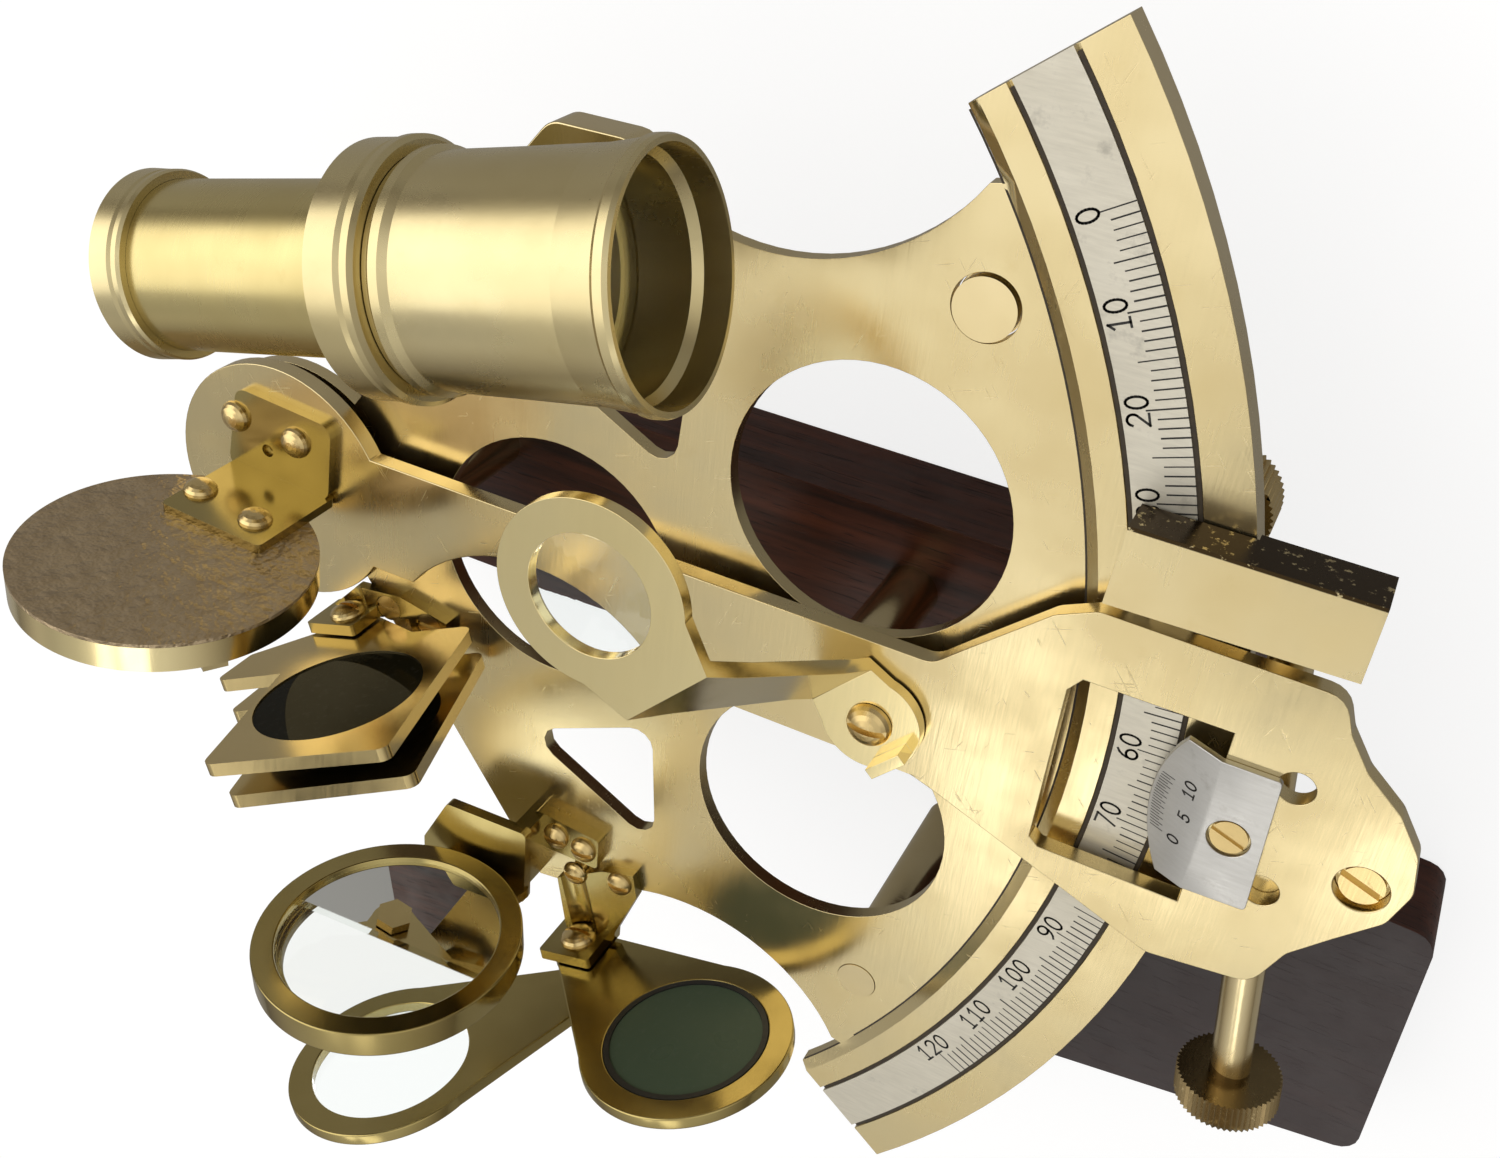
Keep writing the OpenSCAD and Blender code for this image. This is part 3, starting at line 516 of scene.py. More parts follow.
@dataclass(frozen=True)
class GlassFinish:
    """Clear or tinted glass with faint dust.

    Where a height is given, the face toward the zero end is silvered below it. The height and the
    silvering's edge are in metres.
    """

    name: str
    tint: Colour
    through: float
    ior: float = 1.45
    rough: float = 0.01
    coat: float = 0.0
    shine: float = 0.5
    silvered_below_z: float | None = None
    silver_edge: float = 0.0002
    silver_faces: Band = (0.5, 0.6)
    dust: Colour = (0.75, 0.74, 0.7)
    specks: Mark = Mark(Grain(900.0, 4.0, 0.7), (0.55, 0.8), 0.02)
    film: Grain = Grain(90.0)
    clean: float = 0.7
    filmed: float = 0.6

    def silver(self, bench: Bench, top: float) -> Wire:
        """Silver the face toward the zero end below a height.

        Args:
            bench: The material's bench.
            top: The height in metres.

        Returns:
            The share of silver.
        """
        height = bench.part(bench.coordinates(), Axis.Z)
        below = bench.span(height, (top, top - self.silver_edge))
        return below * bench.span(bench.facing(Axis.Y), self.silver_faces)

    def build(self) -> bpy.types.Material:
        """Make the material.

        Returns:
            The material.
        """
        bench = Bench(bpy.data.materials.new(self.name))
        half_silvered = self.silvered_below_z is not None
        return bench.surface({
            "Base Color": bench.mix(bench.mark(self.specks), self.tint, self.dust),
            "Roughness": self.rough * (self.clean + self.filmed * bench.noise(self.film)),
            "Transmission Weight": self.through,
            "IOR": self.ior,
            "Specular IOR Level": self.shine,
            "Coat Weight": self.coat,
            "Metallic": self.silver(bench, self.silvered_below_z) if half_silvered else 0.0,
        })


@dataclass(frozen=True)
class GrainyFinish:
    """Opaque grainy coating, used for the mirror's back, the painted shade and dirt in the grooves, ink and
    the gasket.
    """

    name: str
    tint: Colour
    other: Colour
    rough: float = 0.55
    grit: Grain = Grain(1400.0, 3.0, 0.6)
    relief: float = 0.0001
    metal: float = 0.0
    grit_band: Band = (0.3, 0.7)
    grit_share: float = 0.6
    grit_rough: float = 0.15
    cloud: Grain = Grain(60.0)
    cloud_share: float = 0.3
    relief_share: float = 0.5

    def build(self) -> bpy.types.Material:
        """Make the material.

        Returns:
            The material.
        """
        bench = Bench(bpy.data.materials.new(self.name))
        grit = bench.noise(self.grit)
        spread = bench.span(grit, self.grit_band) * self.grit_share
        spread = spread + self.cloud_share * bench.noise(self.cloud)
        return bench.surface({
            "Base Color": bench.mix(spread, self.tint, self.other),
            "Metallic": self.metal,
            "Roughness": self.rough + self.grit_rough * grit,
            "Normal": bench.bump(grit, self.relief_share, self.relief),
        })


class Finish(Enum):
    """The finishes of the sextant."""

    SHEET = PolishedFinish("polished sheet brass", rough=0.14, scratches=0.75)
    TURNED = PolishedFinish(
        "turned brass", (0.78, 0.65, 0.38), rough=0.09, haze=0.08, brush=(700.0, 700.0, 3200.0), scratches=0.3
    )
    KNOB = PolishedFinish(
        "tarnished knob brass", (0.78, 0.65, 0.38), rough=0.14, scratches=0.2,
        dark_zone=(-0.06, -0.0376), dark=(0.26, 0.19, 0.09), flecks=0.3
    )
    # The dark zone paints shade on the clamp's end toward +Y
    CLAMP = PolishedFinish("clamp brass", rough=0.2, scratches=0.4, dark_zone=(0.0334, 0.08))
    TUBE = PolishedFinish(
        "satin telescope brass", (0.70, 0.60, 0.34), (0.56, 0.45, 0.20), rough=0.20, haze=0.08,
        brush=(900.0, 900.0, 2400.0), scratches=0.1, grain=0.2
    )
    DRAWN = PolishedFinish(
        "drawn tube brass", (0.68, 0.57, 0.27), (0.42, 0.33, 0.12), rough=0.20, haze=0.08,
        brush=(2400.0, 300.0, 300.0), scratches=0.3, grain=0.4
    )
    SATIN = PolishedFinish(
        "satin shade brass", (0.68, 0.54, 0.26), rough=0.12, haze=0.08, scratches=0.0, grain=0.3
    )
    # A darker copy of the polished brass for the upright brackets, ring and horizon shades: painted shade for
    # the dark surroundings that they mirror
    LEAF = PolishedFinish(
        "bent bracket brass", (0.46, 0.37, 0.15), (0.33, 0.25, 0.08), rough=0.10, scratches=0.0, grain=0.25
    )
    # A lighter copy of the polished brass for the magnifier arm and the mirror's cell and clips: painted
    # highlight for the bright surroundings that they mirror
    BRIGHT = PolishedFinish(
        "bright brass", (0.93, 0.79, 0.43), (0.80, 0.65, 0.30), rough=0.09, haze=0.06,
        scratches=0.15, grain=0.3
    )
    SCREW = PolishedFinish("screw brass", (0.74, 0.57, 0.27), (0.45, 0.31, 0.11), rough=0.16)
    MIRROR = PolishedFinish(
        "silvered glass", (0.86, 0.88, 0.88), (0.8, 0.83, 0.84), rough=0.01, haze=0.01, scratches=0.1
    )
    SILVER = SilverFinish("silvered scale")
    VERNIER = SilverFinish("vernier plate steel", (0.62, 0.61, 0.58), rough=0.26, metal=1.0)
    WOOD = WoodFinish("dark handle wood")
    BACKING = GrainyFinish(
        "grainy mirror back", (0.54, 0.42, 0.26), (0.40, 0.30, 0.18), 0.33, Grain(330.0, 3.0, 0.6), 0.003, 0.8
    )
    # Near-black painted shade with some dirt, for the lines laid in the grooves and at the foot of the limb's
    # step
    GRIME = GrainyFinish(
        "dirt in the grooves", (0.022, 0.015, 0.008), (0.06, 0.042, 0.02), 0.6, Grain(900.0, 3.0, 0.6)
    )
    INK = GrainyFinish("black engraving", (0.012, 0.011, 0.010), (0.03, 0.028, 0.025))
    GASKET = GrainyFinish("black gasket", (0.010, 0.010, 0.010), (0.02, 0.02, 0.018), 0.4)
    CLEAR = GlassFinish("clear glass", (0.95, 0.98, 0.97), 1.0, 1.02, 0.008, 0.6)
    HALF_SILVERED = GlassFinish(
        "half-silvered glass", (0.90, 0.92, 0.90), 1.0, 1.02, 0.01, 0.6, silvered_below_z=0.0632
    )
    GREEN = GlassFinish("dark green glass", (0.066, 0.096, 0.062), 0.0, 1.3, 0.3, shine=0.3)
    SMOKE = GlassFinish("near-black glass", (0.012, 0.011, 0.006), 0.0, 1.2, 0.015, shine=0.15)


@dataclass
class Workshop:
    """Makes each finish once and gives it to pieces.

    Edges between the two step angles stay crisp without being rounded, and steeper ones are rounded.
    Angles are in degrees and the merging distance is in metres.
    """

    step_angles: Band = (20.0, 40.0)
    flat_angle: float = 0.6
    merge: float = 1e-6
    flat_weight: int = 100
    made: dict[Finish, bpy.types.Material] = field(default_factory=dict)

    def material(self, finish: Finish) -> bpy.types.Material:
        """Give a finish's material, made when first asked for.

        Args:
            finish: The finish.

        Returns:
            The material.
        """
        if finish not in self.made:
            self.made[finish] = finish.value.build()
        return self.made[finish]

    def dress(self, finish: Finish, *names: str) -> None:
        """Give CAD nodes a finish.

        Args:
            finish: The finish.
            names: The nodes' names.
        """
        for name in names:
            mesh = frame["nodes"][name].data
            mesh.materials.clear()
            mesh.materials.append(self.material(finish))
            log.info("%s: %s", name, finish.value.name)

    def clean(self, mesh: bpy.types.Mesh) -> None:
        """Join a mesh's flat faces and mark its sharp edges.

        Args:
            mesh: The mesh, a copy of a CAD node's.
        """
        work = bmesh.new()
        work.from_mesh(mesh)
        bmesh.ops.remove_doubles(work, verts=work.verts, dist=self.merge)
        flat = math.radians(self.flat_angle)
        bmesh.ops.dissolve_limit(work, angle_limit=flat, verts=work.verts, edges=work.edges)
        low, high = self.step_angles
        for edge in work.edges:
            edge.smooth = not low < math.degrees(edge.calc_face_angle(0.0)) < high
        work.to_mesh(mesh)
        work.free()
        for face in mesh.polygons:
            face.use_smooth = True

    def soften(self, finish: Finish, name: str, width: float, segments: int = 2) -> None:
        """Stand in for a CAD node with a copy that has rounded edges.

        Args:
            finish: The copy's finish.
            name: The node's name.
            width: Width of the rounding in millimetres.
            segments: Faces across the rounding.
        """
        node = frame["nodes"][name]
        mesh = node.data.copy()
        self.clean(mesh)
        mesh.materials.clear()
        mesh.materials.append(self.material(finish))
        piece = bpy.data.objects.new(f"{name}_piece", mesh)
        bpy.context.scene.collection.objects.link(piece)
        bevel = piece.modifiers.new("rounded edges", "BEVEL")
        bevel.width = width * MM
        bevel.segments = segments
        bevel.limit_method = "ANGLE"
        bevel.angle_limit = math.radians(self.step_angles[1])
        flat = piece.modifiers.new("flat faces", "WEIGHTED_NORMAL")
        flat.mode = "FACE_AREA"
        flat.weight = self.flat_weight
        flat.keep_sharp = True
        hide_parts(name)
        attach(piece, node["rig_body"])
        log.info("%s: rounded, %s", name, finish.value.name)


# Straight stretches of a digit's curve: the fewest, and the degrees that each turns by
LEAST_STEPS = 4
STEP_TURN = 20.0


def bow(cx: float, cy: float, rx: float, ry: float, start: float, end: float) -> list[Point]:
    """Give points along an elliptical arc.

    Args:
        cx: Middle, across.
        cy: Middle, up.
        rx: Half width.
        ry: Half height.
        start: First angle in degrees.
        end: Last angle in degrees.

    Returns:
        The points in order.
    """
    steps = max(LEAST_STEPS, round(abs(end - start) / STEP_TURN))
    angles = [math.radians(start + (end - start) * i / steps) for i in range(steps + 1)]
    return [(cx + rx * math.cos(a), cy + ry * math.sin(a)) for a in angles]


# Strokes of the digits, each in a box 0.6 wide and 1 high
DIGIT_WIDTH = 0.6
DIGITS: dict[str, list[list[Point]]] = {
    "0": [bow(0.3, 0.5, 0.26, 0.47, 0, 360)],
    "1": [[(0.12, 0.76), (0.32, 0.98), (0.32, 0.02)], [(0.12, 0.02), (0.52, 0.02)]],
    "2": [bow(0.3, 0.71, 0.25, 0.27, 165, -38) + [(0.04, 0.03), (0.56, 0.03)]],
    "3": [bow(0.28, 0.75, 0.22, 0.23, 150, -90), bow(0.28, 0.27, 0.26, 0.25, 90, -150)],
    "4": [[(0.42, 0.02), (0.42, 0.98), (0.03, 0.3), (0.57, 0.3)]],
    "5": [[(0.52, 0.97), (0.13, 0.97), (0.1, 0.52)] + bow(0.28, 0.31, 0.26, 0.29, 125, -150)],
    "6": [bow(0.3, 0.28, 0.25, 0.26, 0, 360), bow(0.56, 0.28, 0.51, 0.7, 180, 108)],
    "7": [[(0.05, 0.97), (0.56, 0.97), (0.2, 0.02)]],
    "8": [bow(0.3, 0.74, 0.2, 0.23, 0, 360), bow(0.3, 0.27, 0.26, 0.25, 0, 360)],
    "9": [bow(0.3, 0.71, 0.25, 0.26, 0, 360), bow(0.04, 0.71, 0.51, 0.7, 0, -72)],
}


@dataclass
class Engraving:
    """Lines cut into a face, gathered into one mesh; sizes are in millimetres on the face."""

    name: str
    body: str
    slot: str
    to_face: Matrix
    finish: Finish = Finish.INK
    advance: float = 0.78
    corners: list[Vector] = field(default_factory=list)
    faces: list[tuple[int, int, int, int]] = field(default_factory=list)

    def stroke(self, points: list[Point], width: float) -> None:
        """Cut a line through points.

        Args:
            points: Places on the face.
            width: The line's width.
        """
        for (ax, ay), (bx, by) in zip(points, points[1:]):
            run = math.hypot(bx - ax, by - ay) or 1.0
            ux, uy = (bx - ax) / run * width / 2, (by - ay) / run * width / 2
            base = len(self.corners)
            for x, y, end, side in ((ax, ay, -1, -1), (bx, by, 1, -1), (bx, by, 1, 1), (ax, ay, -1, 1)):
                self.corners.append(Vector((x + end * ux - side * uy, y + end * uy + side * ux, 0.0)))
            self.faces.append((base, base + 1, base + 2, base + 3))

    def arc(self, radius: float, turns: list[float], width: float) -> None:
        """Cut one unbroken line along an arc about the pivot.

        Args:
            radius: The arc's radius.
            turns: Directions along the arc in radians.
            width: The line's width.
        """
        base = len(self.corners)
        for turn in turns:
            for r in (radius - width / 2, radius + width / 2):
                self.corners.append(Vector((r * math.cos(turn), r * math.sin(turn), 0.0)))
        self.faces += [(i, i + 1, i + 3, i + 2) for i in range(base, base + 2 * len(turns) - 2, 2)]

    def number(self, text: str, middle: Point, turn: float, height: float, width: float) -> None:
        """Cut a number.

        Args:
            text: The digits.
            middle: The number's middle.
            turn: Direction of reading in degrees.
            height: Height of the digits.
            width: The line's width.
        """
        reach = self.advance * len(text) - (self.advance - DIGIT_WIDTH)
        across, along = math.cos(math.radians(turn)), math.sin(math.radians(turn))
        for i, digit in enumerate(text):
            for line in DIGITS[digit]:
                local = [((x + self.advance * i - reach / 2) * height, (y - 0.5) * height) for x, y in line]
                self.stroke([
                    (middle[0] + x * across - y * along, middle[1] + x * along + y * across) for x, y in local
                ], width)

    def build(self, shop: Workshop) -> None:
        """Make the mesh of all lines.

        Args:
            shop: Gives the finish.
        """
        mesh = bpy.data.meshes.new(self.name)
        mesh.from_pydata([self.to_face @ (corner * MM) for corner in self.corners], [], self.faces)
        mesh.materials.append(shop.material(self.finish))
        piece = bpy.data.objects.new(self.name, mesh)
        bpy.context.scene.collection.objects.link(piece)
        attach(piece, self.body)
        log.info("%s: %d lines", self.name, len(self.faces))


@dataclass(frozen=True)
class ScaleLines:
    """Divisions and numbers of the silvered scale, cut slightly uneven as by hand.

    The scale reads twice the arm's turn. Sizes are in millimetres, and play is the most that a cut
    differs either way.
    """

    last: int = 120
    readings_per_degree: int = 2
    zero_angle: float = 32.0
    outer_r: float = 120.35
    short: float = 2.9
    long: float = 3.9
    long_every: int = 5
    line: float = 0.17
    number_every: int = 10
    number_r: float = 115.45
    number_h: float = 2.4
    number_line: float = 0.27
    lift: float = 0.012
    seed: int = 7
    length_play: float = 0.12
    line_play: float = 0.2
    turn_play: float = 4.0

    def build(self, shop: Workshop) -> None:
        """Cut the divisions and numbers.

        Args:
            shop: Gives the finish.
        """
        play = random.Random(self.seed)
        face = Matrix.Translation(place(0, 0, self.lift))
        cuts = Engraving("scale_divisions", "frame", "scale_silver", face)
        numbers = Engraving("scale_numbers", "frame", "scale_silver", face)
        for reading in range(self.last + 1):
            way = math.radians(self.zero_angle - reading / self.readings_per_degree)
            length = self.long if reading % self.long_every == 0 else self.short
            length += play.uniform(-self.length_play, self.length_play)
            width = self.line * play.uniform(1 - self.line_play, 1 + self.line_play)
            ends = (self.outer_r, self.outer_r - length)
            cuts.stroke([(r * math.cos(way), r * math.sin(way)) for r in ends], width)
            if reading % self.number_every == 0:
                middle = (self.number_r * math.cos(way), self.number_r * math.sin(way))
                turn = math.degrees(way) + 90 + play.uniform(-self.turn_play, self.turn_play)
                numbers.number(str(reading), middle, turn, self.number_h, self.number_line)
        cuts.build(shop)
        numbers.build(shop)


@dataclass(frozen=True)
class GrooveDirt:
    """Dark lines of painted shade with some dirt beside the silvered strip, and of painted shade at the foot
    of the limb's step.

    Each line is its radius, its height over the scale and its width, in millimetres.
    """

    half_angle: float = 39.25
    margin: float = 0.3
    step: float = 1.5
    lines: tuple[Triple, ...] = ((113.5, -0.12, 0.5), (120.7, -0.12, 0.5), (108.5, -0.78, 0.24))

    def build(self, shop: Workshop) -> None:
        """Lay the lines in the grooves.

        Args:
            shop: Gives the finish.
        """
        count = round(2 * self.half_angle / self.step)
        end = self.half_angle - self.margin
        turns = [math.radians(-end + 2 * end * i / count) for i in range(count + 1)]
        for number, (radius, z, width) in enumerate(self.lines, 1):
            face = Matrix.Translation(place(0, 0, z))
            line = Engraving(f"groove_shade_and_dirt_{number}", "frame", "polished_brass", face, Finish.GRIME)
            line.arc(radius, turns, width)
            line.build(shop)


@dataclass(frozen=True)
class VernierLines:
    """Divisions and numbers on the sloping front of the vernier plate.

    Sizes are in millimetres. The slope runs between two places given by X and height, its front edge
    is bowed, and each number is its text with its X and Y.
    """

    low: Point = (118.8, 1.4)
    high: Point = (125.4, 4.5)
    lift: float = 0.02
    front_x: float = 119.3
    front_y: float = 1.0
    front_bow: float = 30.0
    marks: int = 20
    first_y: float = -3.35
    run: float = 7.17
    gap: float = 0.25
    long: float = 1.9
    short: float = 1.4
    long_every: int = 2
    line: float = 0.09
    number_h: float = 1.5
    number_line: float = 0.2
    numbers: tuple[tuple[str, float, float], ...] = (
        ("0", 123.0, -3.35),
        ("5", 123.4, 0.2),
        ("10", 123.1, 3.8),
    )

    def build(self, shop: Workshop) -> None:
        """Cut the divisions and numbers.

        Args:
            shop: Gives the finish.
        """
        slope = math.atan2(self.high[1] - self.low[1], self.high[0] - self.low[0])
        foot = Matrix.Translation(place(self.low[0], 0, self.low[1] + self.lift))
        face = foot @ Matrix.Rotation(-slope, 4, "Y")
        lines = Engraving("vernier_lines", "index_arm", "vernier_steel", face)
        stretch = 1 / math.cos(slope)
        for i in range(self.marks + 1):
            y = self.first_y + self.run * i / self.marks
            bowed_x = self.front_x + (y - self.front_y) ** 2 / self.front_bow
            front = (bowed_x - self.low[0]) * stretch
            length = self.long if i % self.long_every == 0 else self.short
            lines.stroke([(front + self.gap, y), (front + length, y)], self.line)
        for text, x, y in self.numbers:
            middle = ((x - self.low[0]) * stretch, y)
            lines.number(text, middle, 90.0, self.number_h, self.number_line)
        lines.build(shop)


@dataclass(frozen=True)
class Limb:
    """Frame plate with its silvered scale, its legs and the brackets that are fixed to it.

    The edge is the width of the rounded edges in millimetres, here and in the classes below.
    """

    edge: float = 0.3
    dirt: GrooveDirt = GrooveDirt()
    scale: ScaleLines = ScaleLines()

    def build(self, shop: Workshop) -> None:
        """Dress the pieces and cut the scale.

        Args:
            shop: Gives the finishes.
        """
        for name in ("frame", "telescope_foot"):
            shop.soften(Finish.SHEET, name, self.edge)
        shop.dress(Finish.SHEET, "pivot_bush")
        shop.dress(Finish.LEAF, "index_shade_bracket", "horizon_mirror_bracket", "horizon_shade_bracket")
        shop.dress(Finish.TURNED, "zero_end_leg", "far_end_leg")
        shop.dress(Finish.SILVER, "scale_strip")
        # Lays dark lines of painted shade with some dirt in the grooves and at the step
        self.dirt.build(shop)
        self.scale.build(shop)


@dataclass(frozen=True)
class Handle:
    """Wooden handle on its two pillars."""

    edge: float = 1.0
    edge_faces: int = 3

    def build(self, shop: Workshop) -> None:
        """Dress the pieces.

        Args:
            shop: Gives the finishes.
        """
        shop.soften(Finish.WOOD, "handle", self.edge, self.edge_faces)
        shop.dress(Finish.TURNED, "handle_pillars")
        shop.dress(Finish.SCREW, "handle_screws")


@dataclass(frozen=True)
class IndexArm:
    """Index arm with its pivot, vernier, clamp, tangent screw and magnifier."""

    edge: float = 0.3
    vernier_edge: float = 0.12
    vernier: VernierLines = VernierLines()

    def build(self, shop: Workshop) -> None:
        """Dress the pieces and cut the vernier.

        Args:
            shop: Gives the finishes.
        """
        shop.soften(Finish.SHEET, "index_arm", self.edge)
        shop.soften(Finish.BRIGHT, "magnifier_arm", self.edge)
        shop.soften(Finish.CLAMP, "clamp_block", self.edge)
        shop.soften(Finish.VERNIER, "vernier_plate", self.vernier_edge)
        shop.dress(Finish.SHEET, "pivot_pin", "tangent_bearing")
        shop.dress(Finish.KNOB, "tangent_screw")
        shop.dress(Finish.CLEAR, "magnifier_lens")
        shop.dress(Finish.SCREW, "pivot_nut", "clamp_screw")
        shop.dress(Finish.SCREW, "vernier_screw", "arm_end_screw", "magnifier_screw")
        self.vernier.build(shop)


@dataclass(frozen=True)
class Mirrors:
    """Index mirror and horizon mirror with their mounts."""

    edge: float = 0.25

    def build(self, shop: Workshop) -> None:
        """Dress the pieces.

        Args:
            shop: Gives the finishes.
        """
        for name in ("index_mirror_bracket", "horizon_mirror_ring"):
            shop.soften(Finish.LEAF, name, self.edge)
        shop.dress(Finish.BRIGHT, "index_mirror_clips", "index_mirror_cell")
        shop.dress(Finish.SCREW, "index_mirror_rivets", "horizon_mirror_screws")
        shop.dress(Finish.BACKING, "index_mirror_back")
        shop.dress(Finish.MIRROR, "index_mirror_glass")
        shop.dress(Finish.HALF_SILVERED, "horizon_mirror_glass")


@dataclass(frozen=True)
class Shades:
    """Index shades and horizon shades with their pins."""

    edge: float = 0.25

    def build(self, shop: Workshop) -> None:
        """Dress the pieces.

        Args:
            shop: Gives the finishes.
        """
        for number in (1, 2):
            shop.soften(Finish.SATIN, f"index_shade_{number}", self.edge)
            shop.soften(Finish.LEAF, f"horizon_shade_{number}", self.edge)
        shop.dress(Finish.SMOKE, "index_shade_glass_1", "index_shade_glass_2")
        shop.dress(Finish.GREEN, "horizon_shade_glass_1")
        shop.dress(Finish.CLEAR, "horizon_shade_glass_2")
        shop.dress(Finish.GASKET, "green_shade_gasket")
        for side in ("index", "horizon"):
            shop.dress(Finish.SCREW, f"{side}_shade_screws", f"{side}_shade_pin", f"{side}_shade_spacer")


@dataclass(frozen=True)
class Telescope:
    """Telescope with its holder."""

    def build(self, shop: Workshop) -> None:
        """Dress the pieces.

        Args:
            shop: Gives the finishes.
        """
        shop.dress(Finish.TUBE, "telescope_holder", "telescope_tube", "eyepiece_ring")
        shop.dress(Finish.DRAWN, "draw_tube")
        shop.dress(Finish.CLEAR, "objective_lens", "eye_lens")
        shop.dress(Finish.SCREW, "telescope_foot_screws", "telescope_nut")


@dataclass(frozen=True)
class Floor:
    """Pale floor just under the rest plane, white where it is seen straight or through glass."""

    half: float = 3.0
    z: float = -0.0004
    card: Colour = (0.9, 0.9, 0.9)
    card_for_light: Colour = (0.24, 0.23, 0.215)
    white: float = 0.72
    white_in_metal: float = 0.1
    glow: float = 1.1

    def material(self) -> bpy.types.Material:
        """Make the floor's material.

        Returns:
            A pale card, mixed with a glow for the rays that show the background.
        """
        bench = Bench(bpy.data.materials.new("white floor"))
        direct = bench.direct_ray()
        seen = direct * self.white + bench.ray("Is Glossy Ray") * self.white_in_metal
        colour = bench.mix(direct, self.card_for_light, self.card)
        card = bench.node("ShaderNodeBsdfDiffuse", {}, {"Color": colour})
        white = bench.node("ShaderNodeEmission", {}, {"Color": (1.0, 1.0, 1.0, 1.0), "Strength": self.glow})
        bench.close(bench.node("ShaderNodeMixShader", {}, {0: seen.at_most(self.white), 1: card, 2: white}))
        return bench.owner

    def build(self) -> None:
        """Lay the floor."""
        mesh = bpy.data.meshes.new("floor")
        ring = ((-1, -1), (1, -1), (1, 1), (-1, 1))
        mesh.from_pydata([(x * self.half, y * self.half, 0.0) for x, y in ring], [], [(0, 1, 2, 3)])
        mesh.materials.append(self.material())
        piece = bpy.data.objects.new("floor", mesh)
        piece.location = (0.0, 0.0, self.z)
        bpy.context.scene.collection.objects.link(piece)


@dataclass(frozen=True)
class Panel:
    """A soft bright or dim patch of the room; its angles are in degrees."""

    azimuth: float
    height: float
    core: float
    reach: float
    glow: float

    def way(self) -> Triple:
        """Give the direction of the patch's middle."""
        a, h = math.radians(self.azimuth), math.radians(self.height)
        return (math.cos(a) * math.cos(h), math.sin(a) * math.cos(h), math.sin(h))


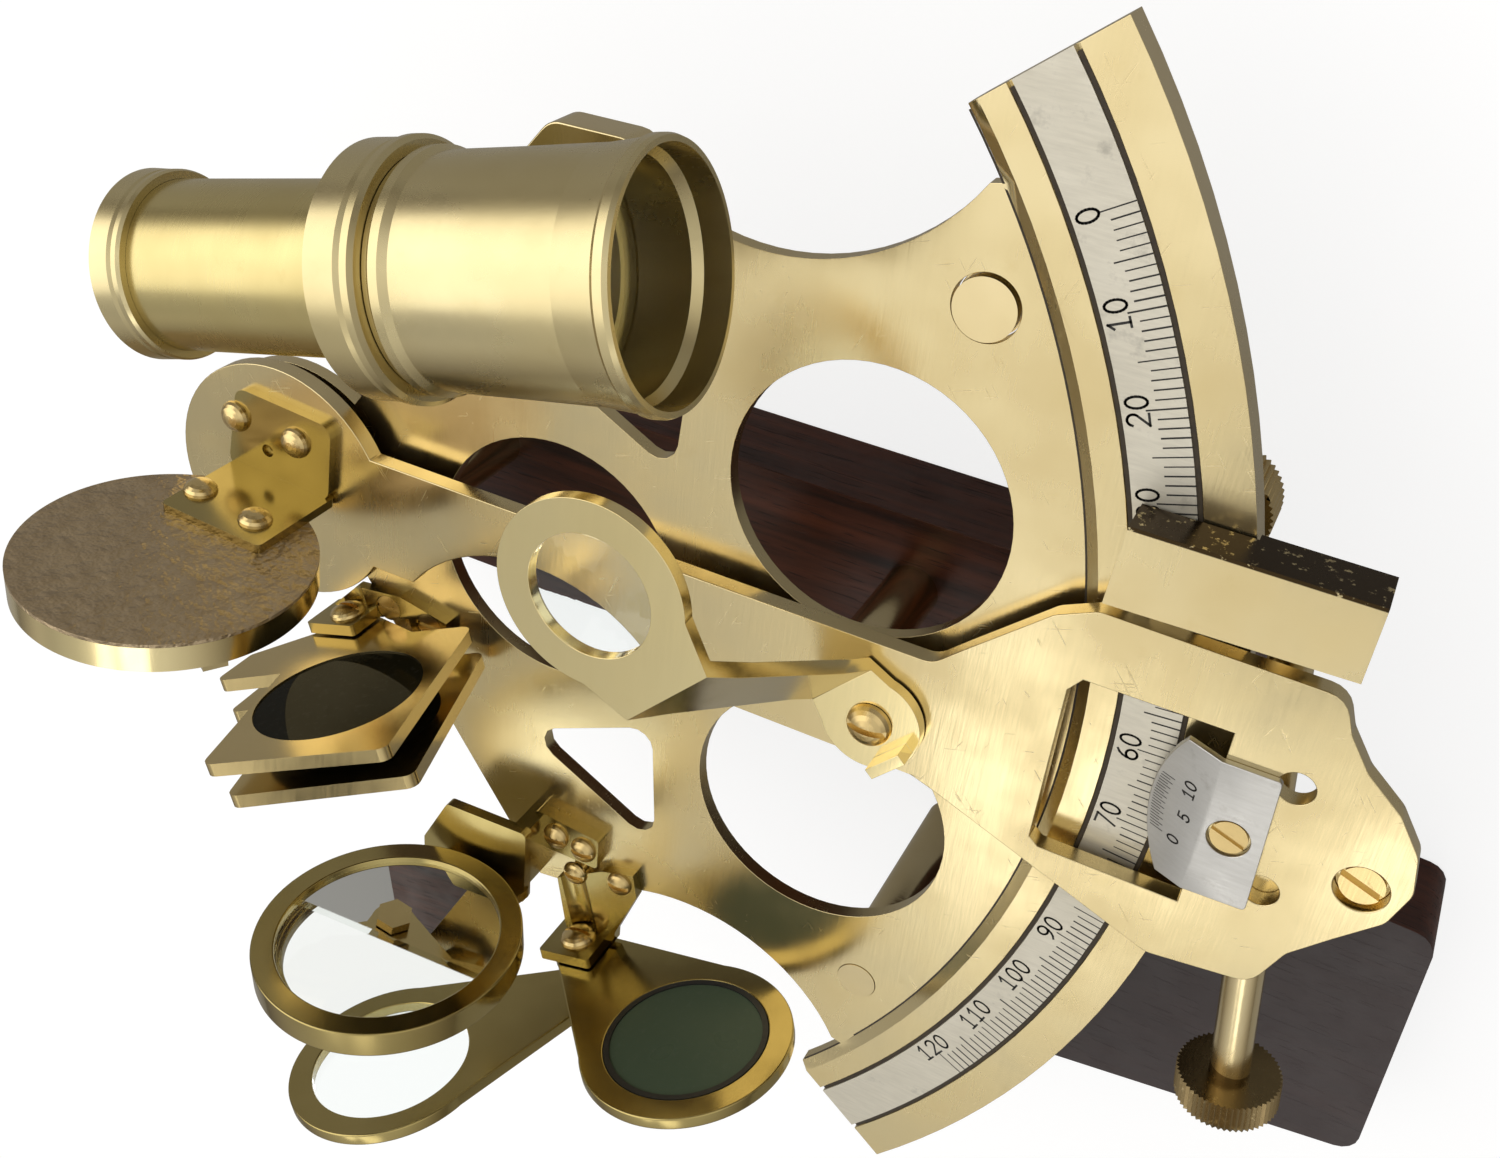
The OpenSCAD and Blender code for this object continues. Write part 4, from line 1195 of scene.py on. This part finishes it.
@dataclass(frozen=True)
class Room:
    """Surroundings: dim walls, a lighter ceiling and patches whose reflections lie on the brass.

    Heights are the upward parts of directions, from -1 to 1.
    """

    wall_heights: Band = (-0.1, 0.6)
    wall_light: Band = (0.08, 0.62)
    ceiling_heights: Band = (0.55, 1.0)
    ceiling_light: Band = (0.0, 0.2)
    least: float = 0.05
    tint_heights: Band = (0.0, 0.6)
    low_tint: Colour = (1.0, 0.90, 0.78)
    high_tint: Colour = (1.0, 0.985, 0.96)
    white: Colour = (1.0, 1.0, 1.0)
    panels: tuple[Panel, ...] = (
        Panel(-98.5, 51.0, 4.6, 6.4, 1.4),
        Panel(-82.5, 54.0, 2.8, 4.8, 1.4),
        Panel(-88.0, 60.5, 5.0, 8.5, -1.0),
        Panel(-110.0, 69.0, 6.0, 22.0, 0.4),
        Panel(-71.0, 48.0, 4.0, 9.0, 1.5),
        Panel(-142.0, 44.0, 8.0, 24.0, -0.2),
        Panel(40.0, 40.0, 10.0, 34.0, 0.3),
        Panel(150.0, 30.0, 8.0, 26.0, 0.3),
    )

    def light(self, bench: Bench, way: Wire, up: Wire) -> Wire:
        """Give the room's brightness in each direction.

        Args:
            bench: The world's bench.
            way: The direction.
            up: The upward part of the direction.

        Returns:
            The brightness.
        """
        light = bench.span(up, self.wall_heights, self.wall_light)
        light = light + bench.span(up, self.ceiling_heights, self.ceiling_light)
        for panel in self.panels:
            sockets = {0: way, 1: panel.way()}
            near = bench.node("ShaderNodeVectorMath", {"operation": "DOT_PRODUCT"}, sockets, "Value")
            edges = (math.cos(math.radians(panel.reach)), math.cos(math.radians(panel.core)))
            light = light + bench.span(near, edges, (0.0, panel.glow), True)
        return light.at_least(self.least)

    def build(self) -> None:
        """Surround the object with the room, and with white where the background is seen."""
        world = bpy.data.worlds.new("soft room")
        bpy.context.scene.world = world
        bench = Bench(world)
        way = bench.node("ShaderNodeTexCoord", {}, {}, "Generated")
        up = bench.part(way, Axis.Z)
        direct = bench.direct_ray()
        tint = bench.mix(bench.span(up, self.tint_heights), self.low_tint, self.high_tint)
        back = bench.node("ShaderNodeBackground", {}, {
            "Color": bench.mix(direct, tint, self.white),
            "Strength": self.light(bench, way, up) * (1 - direct) + direct,
        })
        bench.close(back, "ShaderNodeOutputWorld")


@dataclass(frozen=True)
class Lamp:
    """Soft square lamp aimed at the sextant; sizes are in metres and watts."""

    at: Triple = (-0.55, 0.25, 0.75)
    aim: Triple = (0.06, 0.0, 0.04)
    side: float = 1.1
    power: float = 4.0
    colour: Colour = (1.0, 0.98, 0.95)

    def build(self) -> None:
        """Hang the lamp."""
        light = bpy.data.lights.new("key", "AREA")
        light.size = self.side
        light.energy = self.power
        light.color = self.colour
        lamp = bpy.data.objects.new("key", light)
        lamp.location = self.at
        lamp.rotation_euler = (Vector(self.aim) - Vector(self.at)).to_track_quat("-Z", "Y").to_euler()
        bpy.context.scene.collection.objects.link(lamp)


@dataclass(frozen=True)
class Camera:
    """The camera, where the photograph was taken from.

    Lens and sensor are in millimetres, the turn is in degrees and the rest is in metres.
    """

    lens: float = 38.087
    sensor: float = 36.0
    at: Triple = (0.1291, 0.1120, 0.1841)
    turn: Triple = (-30.645, 26.314, 6.209)
    near: float = 0.005
    far: float = 20.0

    def build(self) -> None:
        """Stand the camera in its place."""
        data = bpy.data.cameras.new("camera")
        data.lens = self.lens
        data.sensor_width = self.sensor
        data.clip_start = self.near
        data.clip_end = self.far
        camera = bpy.data.objects.new("camera", data)
        camera.location = self.at
        camera.rotation_euler = Euler([math.radians(turn) for turn in self.turn])
        bpy.context.scene.collection.objects.link(camera)
        bpy.context.scene.camera = camera


def main() -> None:
    """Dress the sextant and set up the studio."""
    logging.basicConfig(level=logging.INFO, format="%(name)s: %(message)s")
    shop = Workshop()
    for part in (Limb(), Handle(), IndexArm(), Mirrors(), Shades(), Telescope()):
        part.build(shop)
    for thing in (Floor(), Room(), Lamp(), Camera()):
        thing.build()
    bpy.context.scene.view_settings.view_transform = "Standard"


if __name__ == "__main__":
    main()
